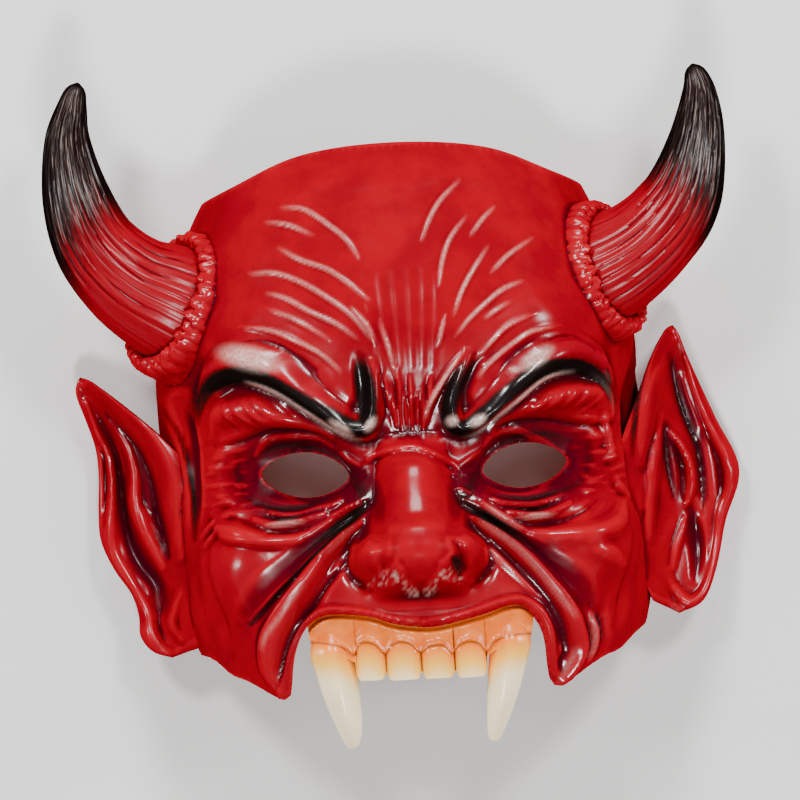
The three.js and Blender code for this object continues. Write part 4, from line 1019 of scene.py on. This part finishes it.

# Horn latex with a satin paint, red at the root and sprayed to black at the tip, streaked along its length, with
# pale scratches on its front that are also a painted highlight of its sheen, and painted shade at its dark edges
# and in its grooves. Its noise runs on the places that paintMask lays out.
horn, shader = newMaterial("sprayed horn latex")
place = addNode(horn, "Attribute", {"attribute_name": "hornPlace"}, {}, "Vector")
sunk, dark, front = [addNode(horn, "Attribute", {"attribute_name": name}, {}, "Fac")
                     for name in ("sunk", "hornDark", "hornFront")]
streak = addNode(horn, "TexNoise", {}, {"Vector": place, "Scale": 1, "Detail": 3, "Roughness": 0.6})
fine = addNode(horn, "TexNoise", {}, {"Vector": place, "Scale": 1 / 0.33, "Detail": 2, "Roughness": 0.6})
shade = addNode(horn, "Math", timesPlus, [streak, 1.1, -0.55])
shade = addNode(horn, "Math", plus, [dark, shade])
shade = addNode(horn, "MapRange", smooth, [shade, 0.1, 0.9])
# pale scratches on the front, which also stand in for its sheen as a painted highlight
scratchAndSheen = addNode(horn, "MapRange", smooth, [fine, 0.52, 0.66])
scratchAndSheen = addNode(horn, "Math", times, [scratchAndSheen, front])
onDark = addNode(horn, "MapRange", smooth, [dark, 0.3, 0.9, 0.05, 0.62])
scratchAndSheen = addNode(horn, "Math", times, [scratchAndSheen, onDark])
# painted shade: near black at the edges of the dark part, where the horn turns away
rim = addNode(horn, "Math", minus, [dark, front])
rim = addNode(horn, "MapRange", smooth, [rim, 0.25, 0.85])
# painted shade: darker where the surface lies sunk in the grooves
groove = addNode(horn, "MapRange", smooth, [sunk, 0.03, 0.2, 0, 0.6])
body = "#920016"
for share, over in ((shade, "#190b0a"), (scratchAndSheen, "#8f7f78"), (rim, "#0e0706"), (groove, "#1c0407")):
    body = addNode(horn, "Mix", rgba, {0: share, 6: body, 7: over}, "Result")
shine = addNode(horn, "MapRange", smooth, [front, 0, 1, 0, 0.2])
addNode(horn, shader, {}, {"Base Color": body, "Roughness": 0.26, "Specular IOR Level": shine, "IOR": 1.5,
                           "Normal": rubberGrain(horn, 0.014, 0.06)})

# Moulded tooth rubber, painted and satin: peach gum, then orange at the roots of the teeth fading
# to cream, with a thin brown line at the gum, and brown in the gaps as painted shade
rubber, shader = newMaterial("painted tooth rubber")
place = addNode(rubber, "TexCoord", {}, {}, "Object")
sunk, below = [addNode(rubber, "Attribute", {"attribute_name": name}, {}, "Fac")
               for name in ("sunk", "belowGum")]
mottle = addNode(rubber, "TexNoise", {}, {"Vector": place, "Scale": 1 / (6 * millimetre), "Detail": 3})
patchy = addNode(rubber, "MapRange", smooth, [mottle, 0.35, 0.65])
root = addNode(rubber, "MapRange", smooth, [below, -0.5, 7])
ends = addNode(rubber, "MapRange", smooth, [below, 5, 13])
isTooth = addNode(rubber, "MapRange", smooth, [below, -0.4, 0.3])
line = addNode(rubber, "Math", {"operation": "ABSOLUTE"}, [below])
line = addNode(rubber, "MapRange", smooth, [line, 0.5, 0.05, 0, 0.7])
# painted shade: brown where the surface lies sunk, in the gaps between the teeth
gap = addNode(rubber, "MapRange", smooth, [sunk, 0.05, 0.4, 0, 0.85])
gum = addNode(rubber, "Mix", rgba, {0: patchy, 6: "#e0640e", 7: "#ea7826"}, "Result")
tooth = addNode(rubber, "Mix", rgba, {0: root, 6: "#fb7408", 7: "#ffbc40"}, "Result")
tooth = addNode(rubber, "Mix", rgba, {0: ends, 6: tooth, 7: "#ffecbc"}, "Result")
both = gum
for share, over in ((isTooth, tooth), (line, "#7a3a12"), (gap, "#6e3813")):
    both = addNode(rubber, "Mix", rgba, {0: share, 6: both, 7: over}, "Result")
addNode(rubber, shader, {}, {"Base Color": both, "Roughness": 0.26, "IOR": 1.5,
                             "Normal": rubberGrain(rubber, 0.014, 0.08)})


def easeStep(value):
    value = clamp(value)
    return value * value * (3 - 2 * value)


# How far each point lies below the surface round it, in millimetres, minus where it stands proud,
# and the way it faces
def sunkenness(piece, rounds):
    mesh = piece.data
    points = readPoints(piece)
    normals = np.empty(len(points) * 3)
    mesh.vertices.foreach_get("normal", normals)
    normals = normals.reshape(-1, 3)
    edges = np.empty(len(mesh.edges) * 2, dtype=np.int32)
    mesh.edges.foreach_get("vertices", edges)
    a, b = edges.reshape(-1, 2).T
    count = np.bincount(edges, minlength=len(points))
    level = points.copy()
    for _ in range(rounds):
        total = [np.bincount(a, weights=level[b, k], minlength=len(points))
                 + np.bincount(b, weights=level[a, k], minlength=len(points)) for k in range(3)]
        level = np.stack(total, axis=1) / count[:, None]
    return ((level - points) * normals).sum(axis=1), normals


def setAttribute(piece, name, values):
    kind, field = ("FLOAT_VECTOR", "vector") if values.ndim == 2 else ("FLOAT", "value")
    attribute = piece.data.attributes.new(name, kind, "POINT")
    attribute.data.foreach_set(field, np.ascontiguousarray(values, dtype=np.float32).ravel())


# Sprayed bands of (x, y, half width, amount), with soft edges
def sprayBands(amount, x, y, bands, soft=0.6):
    for corners in bands:
        which, gap, width, strength = alongLine(x, y, corners, 1 + soft)
        cover = strength * easeStep((1 + soft - np.abs(gap) / width) / (2 * soft))
        amount[which] = np.maximum(amount[which], cover)


# Sprayed patches of (x, y, half length, half height, turn, amount)
def sprayPatches(amount, x, y, patches, soft=0.6):
    for x0, y0, halfLength, halfHeight, turn, strength in patches:
        along = (x - x0) * math.cos(turn) + (y - y0) * math.sin(turn)
        across = (y - y0) * math.cos(turn) - (x - x0) * math.sin(turn)
        reach = np.hypot(along / halfLength, across / halfHeight)
        np.maximum(amount, strength * easeStep((0.9 + soft / 2 - reach) / soft), out=amount)


maskPaint = {
    # sprayed black, which also paints shade in the gap before each ear and in the right nostril, with the softness
    # of each set of bands
    "softness": {"browBands": 0.65, "cheekBands": 0.95, "eyeBands": 1, "edgeBands": 0.8, "earBands": 1},
    "browBands": [
        [(-65.5, -3, 1, 0.3), (-64.5, 3, 1.8, 0.7), (-62, 8.4, 2.6, 1), (-57.5, 11.8, 3.2, 1.1), (-51.5, 12.8, 3),
            (-45, 11.6, 2.7), (-40.5, 9.4, 2.5), (-35, 5.8, 2.6), (-30, 2.4, 2.7), (-25, -1, 2.8), (-20.5, -4, 2.9),
            (-16.5, -6, 3), (-13, -4.8, 3.1), (-12.2, 1, 3.4), (-12.6, 7, 3.6), (-13.2, 12, 3.2, 0.9),
            (-13.6, 16, 2.4, 0.4)],
        [(63, -3, 1.6, 0.6), (60.6, 3, 2.1, 1), (56, 6.8, 2.4, 1.1), (51, 8.6, 2.7), (45, 8.9, 2.9), (40, 7.8),
            (36, 5.6), (32, 2.8), (28, -0.2, 2.8), (24.5, -3), (21, -5.6, 2.9), (17, -8, 2.8), (13, -7, 2.9),
            (12, -3, 2.8), (13.2, 2), (15.4, 6.5, 2.8, 1), (18.2, 10.5, 2.4, 0.8), (20.6, 13.6, 1.8, 0.4)]],
    "cheekBands": [
        [(-13.5, -26, 2.2, 0.6), (-18, -31.5, 2.4, 0.9), (-24, -35.5, 2.2, 0.95), (-30, -39.5, 1.8, 0.6),
            (-36, -44.5, 1.5, 0.25)],
        [(14, -28, 2.2, 0.6), (18, -32.8, 2.3, 0.9), (24, -37, 2, 0.95), (30, -41.8, 1.8, 0.6),
            (36, -46.5, 1.5, 0.25)],
        [(-25, -38, 0.5, 0.8), (-33.5, -44.8, 0.6, 0.95), (-43, -53.6, 0.7), (-53, -63.6, 0.6, 0.7)]],
    "eyeBands": [
        [(-66.5, -4, 2, 0.3), (-65.5, 4, 3, 0.6), (-61.5, 10.4, 3.8, 0.75), (-55, 13.4, 2.8, 0.5)],
        [(64.5, -4, 1.6, 0.3), (62.5, 3, 2.2, 0.6), (57, 8, 2.8, 0.7), (50, 10.6, 2.8, 0.6), (43, 10.4, 2.6, 0.4)],
        [(-53, -12, 1.4, 0.4), (-53.6, -18, 1.8, 0.55), (-51, -24.5, 1.6, 0.5), (-44, -28.4, 1.2, 0.7),
            (-36, -28.8, 1.1), (-28, -26.8, 1, 0.5)],
        [(53.5, -14, 1.4, 0.4), (54, -20, 1.8, 0.55), (50.5, -26.5, 1.6, 0.5), (43, -29.4, 1.2, 0.7),
            (35, -30.8, 1.1), (27, -29.4, 1, 0.5)],
        [(-20.5, -18, 1.6, 0.4), (-17.5, -22.5, 2.2, 0.6), (-14.5, -28, 2.4, 0.7)],
        [(20.5, -19, 1.6, 0.4), (18, -24, 2.2, 0.6), (14.5, -29, 2.4, 0.7)],
        [(-48, -12.5, 1, 0.5), (-40, -9.8, 1.1, 0.7), (-31, -10.6), (-23, -14.5, 1, 0.5)],
        [(49, -14.5, 1, 0.5), (41, -11.4, 1.1, 0.7), (32, -11.6), (24, -15.6, 1, 0.5)],
        [(-47, -30.8, 0.8, 0.4), (-40, -31.8, 0.9, 0.7), (-33, -31, 0.8, 0.5)],
        [(28, -32.6, 0.8, 0.4), (34, -33.9, 0.9, 0.7), (42, -33, 0.8, 0.5)],
        # painted shade: black in the right nostril
        [(10.4, -46.5, 1.4, 1), (11.2, -49, 1.8), (12, -51.4, 1.2, 0.9)],
        [(-2.6, 6, 0.9, 0.3), (-1.8, -2, 1.1, 0.4), (-1, -8, 0.8, 0.3)]],
    # painted shade: black in the gap between the face and the front of each ear
    "edgeBands": [
        [(-77, 5, 1.2, 0.4), (-71.6, -4, 1.3, 0.8), (-69.2, -14, 1.3, 0.9), (-68.2, -26, 1.2), (-69, -37, 1, 0.5)],
        [(76, 11, 1.2, 0.5), (71.6, 0, 1.3, 0.9), (69.4, -10, 1.2, 0.8), (68, -20, 1, 0.4)]],
    "earBands": [
        [(-96.6, -7, 0.5, 0.4), (-96.8, -15, 0.6, 0.5), (-97, -21, 0.5, 0.3)],
        [(-93, -9, 0.5, 0.4), (-92, -18, 0.8, 0.55), (-91.6, -27, 0.9), (-89.5, -36, 0.9, 0.4)],
        [(83, 8, 0.8, 0.5), (84, 0, 1.2, 0.65), (85.5, -6.5, 1.4, 0.75), (87.4, -13, 1.3, 0.7),
            (89.5, -19.5, 1.2, 0.6), (90.3, -27, 1.1, 0.5), (90.2, -35, 0.9, 0.3)],
        [(79, -13, 0.8, 0.5), (79.2, -20, 1.1, 0.6), (79.8, -28, 1, 0.5), (80.6, -34, 0.8, 0.3)],
        [(82.2, -18, 0.6, 0.4), (83.4, -24, 0.7, 0.5), (83.6, -30, 0.6, 0.3)]],
    "blackPatches": [
        (-33.5, -19, 15.5, 8.6, -0.08, 0.55), (34.5, -20.5, 15, 8.6, 0.05, 0.55)],
    # dark red glazing with painted shade, and the lip that is kept free of the painted shade
    "glazeAndShadeBands": [
        [(37, 10.5, 2, 0.4), (43, 13, 2.8, 0.6), (50, 14, 3.2, 0.7), (57, 11.5, 3), (62, 5, 2.4, 0.5)],
        [(-30, -38.5, 4, 0.75), (-38, -45, 4.6), (-46, -52.5, 4.6, 0.65), (-53, -61, 4, 0.5), (-57, -68, 3, 0.3)],
        [(28, -40, 3.6, 0.75), (36, -46, 4.6), (43, -53, 5, 0.7), (49, -61, 4.4, 0.6), (53, -69, 3.4, 0.4)],
        [(-24, -47.5, 1.4, 0.4), (-31, -55, 1.6, 0.6), (-37.5, -64, 1.8, 0.65), (-42, -74), (-43.6, -83, 1.4, 0.5)],
        [(24, -45, 1.4, 0.4), (31, -52, 1.6, 0.6), (37.5, -61, 1.8, 0.65), (42, -71), (42, -80, 1.4, 0.5)],
        [(-79, -61, 3, 0.3), (-82.5, -52, 3.6, 0.75), (-87.5, -43, 3.4, 0.85), (-90.5, -34, 3, 0.8),
            (-92, -24, 2.4, 0.7), (-91.5, -12, 3, 0.6), (-95, -2, 2.4, 0.5), (-99, 7, 1.8, 0.35)],
        [(-78, -38, 1.4, 0.6), (-80.6, -28, 2.2, 0.7), (-82.5, -17, 2.4, 0.6), (-86.5, -7), (-92, 1, 1.8, 0.4)],
        [(82.6, 10, 1.4, 0.5), (85, 0, 3, 0.75), (88, -10, 3.4), (90.5, -21, 3, 0.7), (90.5, -34, 2.6, 0.6)],
        [(79.5, -12, 2, 0.6), (81, -22, 3, 0.7), (81.5, -33, 2.4, 0.5)],
        [(86, -40, 2.6, 0.6), (87, -49, 3.6, 0.75), (86, -58, 2.4, 0.5)],
        [(-55, 6, 1.4, 0.6), (-47, 7.2), (-39, 4), (-31, -1.6), (-23, -8, 1.6), (-15, -11.6, 1.4, 0.5)],
        [(56, 3, 1.4, 0.6), (48, 4.6), (40, 2.2), (32, -4), (24, -9.6, 1.6), (15, -12.6, 1.4, 0.5)]],
    "glazeAndShadePatches": [
        (-36, -20, 26, 17.5, -0.08, 0.72), (-35, -19.5, 18.5, 11.5, -0.08, 0.95), (-17, -24, 7.5, 10, 0.5, 0.8),
        (37, -21, 25, 17, 0.05, 0.68), (36, -21, 18.5, 11.5, 0.05, 0.95), (17, -25, 7, 10, -0.5, 0.75),
        (-12, -27, 3.4, 9, 0.12, 0.55), (12.5, -28, 3.4, 9, -0.12, 0.55), (-10, -44, 3, 5, 0, 0.25),
        (-61, 14, 6, 7, 0.4, 0.5), (0, 3, 8, 12, 0, 0.35)],
    # how much painted shade gathers in the broad hollows
    "hollowShade": 0.62,
    "unshadedPatches": [
        (0, -58, 26, 8.5, 0, 0.95)],
    # where the gloss coat is thin
    "matteBands": [
        [(-24, -35, 2, 0.6), (-30, -40, 3, 0.8), (-38, -46.5, 4, 0.9), (-46, -54), (-53, -62, 3, 0.7)],
        [(22, -36.5, 2, 0.6), (29, -42, 3, 0.8), (37, -48, 4, 0.9), (44, -55), (50, -63, 3, 0.7)]],
    "mattePatches": [
        (0, 50, 56, 42, 0, 0.95), (-69, 26, 12, 30, 0, 1), (69, 26, 12, 30, 0, 1), (-68, 0, 9, 18, 0, 1),
        (-71, -58, 14, 32, 0, 1), (69, -56, 13, 32, 0, 1), (-53, -18, 8, 10, 0, 1), (53, -20, 8, 10, 0, 1),
        (0, -56, 20, 7, 0, 0.9), (0, -60, 34, 5, 0, 0.65), (0, -45, 15, 9.5, 0, 0.85), (0, -24, 8, 12, 0, 0.25),
        (69, -14, 7, 22, 0, 0.9), (0, 7, 8, 15, 0, 0.45)],
    # painted highlights in pale dry-brushing: patches, glints along the lower edge of the nose, and how the ridges
    # are brushed
    "highlightPatches": [
        (-47, 17.4, 9, 3.4, -0.3, 0.7), (39.5, 11.8, 5.4, 2.4, 0.5, 0.65), (-21, -5.6, 4, 1.5, -0.65, 0.8),
        (-12, -5, 2.6, 1.4, 0.9, 0.8), (12.6, -5.6, 1.8, 1.7, 0, 0.8), (20.6, -6, 2.6, 1.6, 0.5, 0.8),
        (-40, -33.2, 5.5, 0.9, 0.05, 0.4), (36.5, -36, 5, 0.9, 0, 0.4)],
    "noseGlintBand": [
        (-15.5, -53.6, 0.8, 0.2), (-11, -51.4, 1.4, 0.6), (-7.5, -50.8, 1.4, 0.6), (-5, -53.4, 0.9, 0.45),
        (-3, -56, 1.2, 0.6), (0, -56.9, 1, 0.45), (2.4, -56, 1.2, 0.6), (4.6, -53.2, 0.9, 0.45),
        (7.6, -50.8, 1.3, 0.6), (12.4, -53.4, 0.9, 0.3)],
    "browRidgeHighlights": {"amount": 0.6, "halfWidth": 0.52, "gain": 1, "soft": 0.9},
    "cheekRidgeHighlights": {"amount": 0.19, "halfWidth": 0.7, "gain": 4, "soft": 1.1},
    "foreheadRidgeHighlights": {"amount": 0.36, "halfWidth": 0.52, "soft": 0.95},
}


def paintMask(piece):
    points = readPoints(piece)
    x, y = points[:, 0], points[:, 1]
    sunk, normals = sunkenness(piece, 7)
    facing = easeStep((normals[:, 2] + 0.15) / 0.4)
    black, unshaded, paintedHighlight, noseGlints, matte, along = np.zeros((6, len(points)))

    sprayPatches(black, x, y, maskPaint["blackPatches"])
    for name, soft in maskPaint["softness"].items():
        sprayBands(black, x, y, maskPaint[name], soft)

    # painted shade: dark red gathers in the hollows, kept off the lip, with glazing and more painted shade in
    # patches and bands
    sprayPatches(unshaded, x, y, maskPaint["unshadedPatches"])
    glazeAndShade = maskPaint["hollowShade"] * easeStep((sunkenness(piece, 60)[0] - 0.15) / 0.9) * (1 - unshaded)
    sprayPatches(glazeAndShade, x, y, maskPaint["glazeAndShadePatches"])
    sprayBands(glazeAndShade, x, y, maskPaint["glazeAndShadeBands"], 0.8)

    # painted highlights: pale patches, glints broken into specks along the nose's lower edge, and lines along the
    # ridges
    sprayPatches(paintedHighlight, x, y, maskPaint["highlightPatches"], 1.1)
    sprayBands(noseGlints, x, y, [maskPaint["noseGlintBand"]], 0.9)
    glintSpecks = 1.9 * np.sin(1.7 * x + 1.6 * np.sin(1.3 * y)) * np.sin(1.9 * y - 0.8 * x + 1.7 * np.sin(0.9 * x))
    paintedHighlight = np.maximum(paintedHighlight, noseGlints * clamp(0.1 + glintSpecks))
    for look, strokes in ((maskPaint["browRidgeHighlights"], browStrokes), (maskPaint["cheekRidgeHighlights"], cheekStrokes)):
        bands = [[(px, py, look["halfWidth"], look["amount"] * min(1, look["gain"] * max(0, rise - 0.9)))
                  for px, py, _, rise in inFull(corners)] for kind, _, corners in strokes if kind == "ridge"]
        sprayBands(paintedHighlight, x, y, bands, look["soft"])
    look = maskPaint["foreheadRidgeHighlights"]
    bands = [[(px, py, look["halfWidth"], look["amount"] * (0 < k < len(path) - 1))
              for k, (px, py) in enumerate(path)] for path in foreheadLines["lines"]]
    sprayBands(paintedHighlight, x, y, bands, look["soft"])

    sprayPatches(matte, x, y, maskPaint["mattePatches"])
    sprayBands(matte, x, y, maskPaint["matteBands"], 0.9)
    matte *= 1 - 0.9 * easeStep(-sunk / 0.22) * (y > 10)  # the forehead's wrinkles are glossy
    matte = np.maximum(matte, easeStep((0.87 - normals[:, 2]) / 0.16))  # thin on steep sides too

    # places on the horns, laid out so that noise is narrow round them and long along them
    hornPlace = np.zeros((len(points), 3))
    for side, sign in (("left", -1), ("right", 1)):
        line, _, _, across, forward = curveFrame(horns[side], horns["rings"])
        near = np.nonzero((x * sign > 45) & (y > 8))[0]
        nearest = ((points[near, None] - line[None])**2).sum(axis=2).argmin(axis=1)
        gap = points[near] - line[nearest]
        turn = np.arctan2((gap * forward[nearest]).sum(axis=1), (gap * across[nearest]).sum(axis=1))
        along[near] = nearest / horns["rings"]
        hornPlace[near] = np.stack([9 * np.cos(turn), 9 * np.sin(turn), 4 * along[near]], axis=1)
    outside = normals[:, 0] * np.sign(x)
    # the spray darkens towards the tip, and further on steep sides as painted shade
    hornDark = easeStep((along - 0.26 + 0.08 * (1 - normals[:, 2]) + 0.07 * outside) / 0.48)

    looks = {"sunk": sunk, "black": black * facing, "paintedHighlight": paintedHighlight * facing, "matte": matte,
             "glazeAndShade": glazeAndShade * facing, "hornDark": hornDark,
             "hornFront": easeStep((normals[:, 2] - 0.6) / 0.24), "hornPlace": hornPlace}
    for name, values in looks.items():
        setAttribute(piece, name, values)


def paintTeeth(piece):
    points = readPoints(piece)
    setAttribute(piece, "sunk", sunkenness(piece, 4)[0])
    setAttribute(piece, "belowGum", gumLineAt(points[:, 0]) - points[:, 1])


# Puts a piece into the part's frame, in metres
def settle(piece, smoothAngle):
    points = readPoints(piece)
    points[:, 0] += maskShift[0]
    points[:, 1] += maskShift[1]
    writePoints(piece, points * millimetre)
    pick(piece)
    bpy.ops.object.shade_smooth_by_angle(angle=math.radians(smoothAngle))


# Levels between which each cutting slab reaches through the casting
cuts = {"front": (-20, 150), "rim": (-130, 130), "eyeHole": (20, 140), "teeth": (40, 140)}

mask = skinSolid("cast mask", face["columns"], face["rows"], 0, skinHeight, face["floor"])
mask.data.materials.append(latex)
print("face skin:", len(mask.data.polygons), "faces")
outline = smoothLine(frontOutline, face["outlineSteps"], closed=True)[:-1]
for name, shape, levels, alongX, material in (("front outline", outline, cuts["front"], False, latex),
                                              ("rim", sideOutline, cuts["rim"], True, inside)):
    slab = outlineSlab(name, shape, *levels, alongX)
    slab.data.materials.append(material)
    mask = combine(mask, slab, "INTERSECT")
for side in ("left", "right"):
    for make in (makeHorn, makeCollar, makeEar):
        added = make(side)
        added.data.materials.append(horn if make == makeHorn else latex)
        mask = combine(mask, added, "UNION")
    print(side, "horn, collar and ear joined:", len(mask.data.polygons), "faces")
hollow = skinSolid("hollow", face["hollowColumns"], face["hollowRows"], face["wall"], mainForms,
                   face["hollowFloor"])
hollow.data.materials.append(inside)
mask = combine(mask, hollow, "DIFFERENCE")
for hole in eyeHoles:
    cutter = outlineSlab("eye hole", almond(hole), *cuts["eyeHole"])
    cutter.data.materials.append(latex)
    mask = combine(mask, cutter, "DIFFERENCE")
clearStrays(mask)
print("mask hollowed:", len(mask.data.polygons), "faces,", [m.name for m in mask.data.materials])

moulding = combine(makeGum(), outlineSlab("tooth edge", toothEdge(), *cuts["teeth"]), "INTERSECT")
for side in ("left", "right"):
    moulding = combine(moulding, makeFang(side), "UNION")
moulding.data.materials.clear()
moulding.data.materials.append(rubber)
print("teeth:", len(moulding.data.polygons), "faces")

paintMask(mask)
paintTeeth(moulding)
settle(mask, 50)
settle(moulding, 60)
mask.name, moulding.name = "cast_mask", "moulded_teeth"
for piece, node, slot in ((mask, "latex_mask", "red_rubber"), (moulding, "upper_teeth", "tooth_rubber")):
    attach(piece, "root")
    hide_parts(node)
    print(piece.name, "has", sum(len(p.vertices) - 2 for p in piece.data.polygons), "triangles")

# Floor, lights as (name, place, width, height, watts), and camera
studio = {
    "floorSize": 6,
    "lights": [
        ("left softbox", (-0.55, 0.8, 1.4), 0.3, 0.3, 17), ("right softbox", (0.6, 0.75, 1.4), 0.3, 0.3, 15),
        ("top strip", (0, 1.42, 0.79), 0.8, 0.3, 17), ("front fill", (0, -0.8, 1.6), 0.36, 0.3, 22),
        ("left strip", (-1.35, 0.25, 0.42), 0.2, 0.3, 8), ("right strip", (1.35, 0.2, 0.42), 0.2, 0.3, 9)],
    "worldStrength": 0.07,
    "cameraHeight": 2.0,
    "cameraTurn": -3.9,
    "lens": 285,
}

deselectAll()
bpy.ops.mesh.primitive_plane_add(size=studio["floorSize"], location=(0, 0, 0))
floor = bpy.context.object
floor.name = "floor"
paper, shader = newMaterial("pale paper floor")
addNode(paper, shader, {}, {"Base Color": "#e9e9e7", "Roughness": 0.9, "IOR": 1.45})
floor.data.materials.append(paper)

for name, at, wide, high, watts in studio["lights"]:
    bpy.ops.object.light_add(type="AREA", location=at)
    light = bpy.context.object
    light.name = name
    light.data.shape = "ELLIPSE"
    light.data.size = wide
    light.data.size_y = high
    light.data.energy = watts
    light.rotation_euler = mathutils.Vector(at).to_track_quat("Z", "Y").to_euler()

world = bpy.context.scene.world or bpy.data.worlds.new("studio")
bpy.context.scene.world = world
world.use_nodes = True
world.node_tree.nodes["Background"].inputs["Color"].default_value = (1, 1, 1, 1)
world.node_tree.nodes["Background"].inputs["Strength"].default_value = studio["worldStrength"]

bpy.ops.object.camera_add(location=(0, 0, studio["cameraHeight"]),
                          rotation=(0, 0, math.radians(studio["cameraTurn"])))
bpy.context.scene.camera = bpy.context.object
bpy.context.scene.camera.data.lens = studio["lens"]
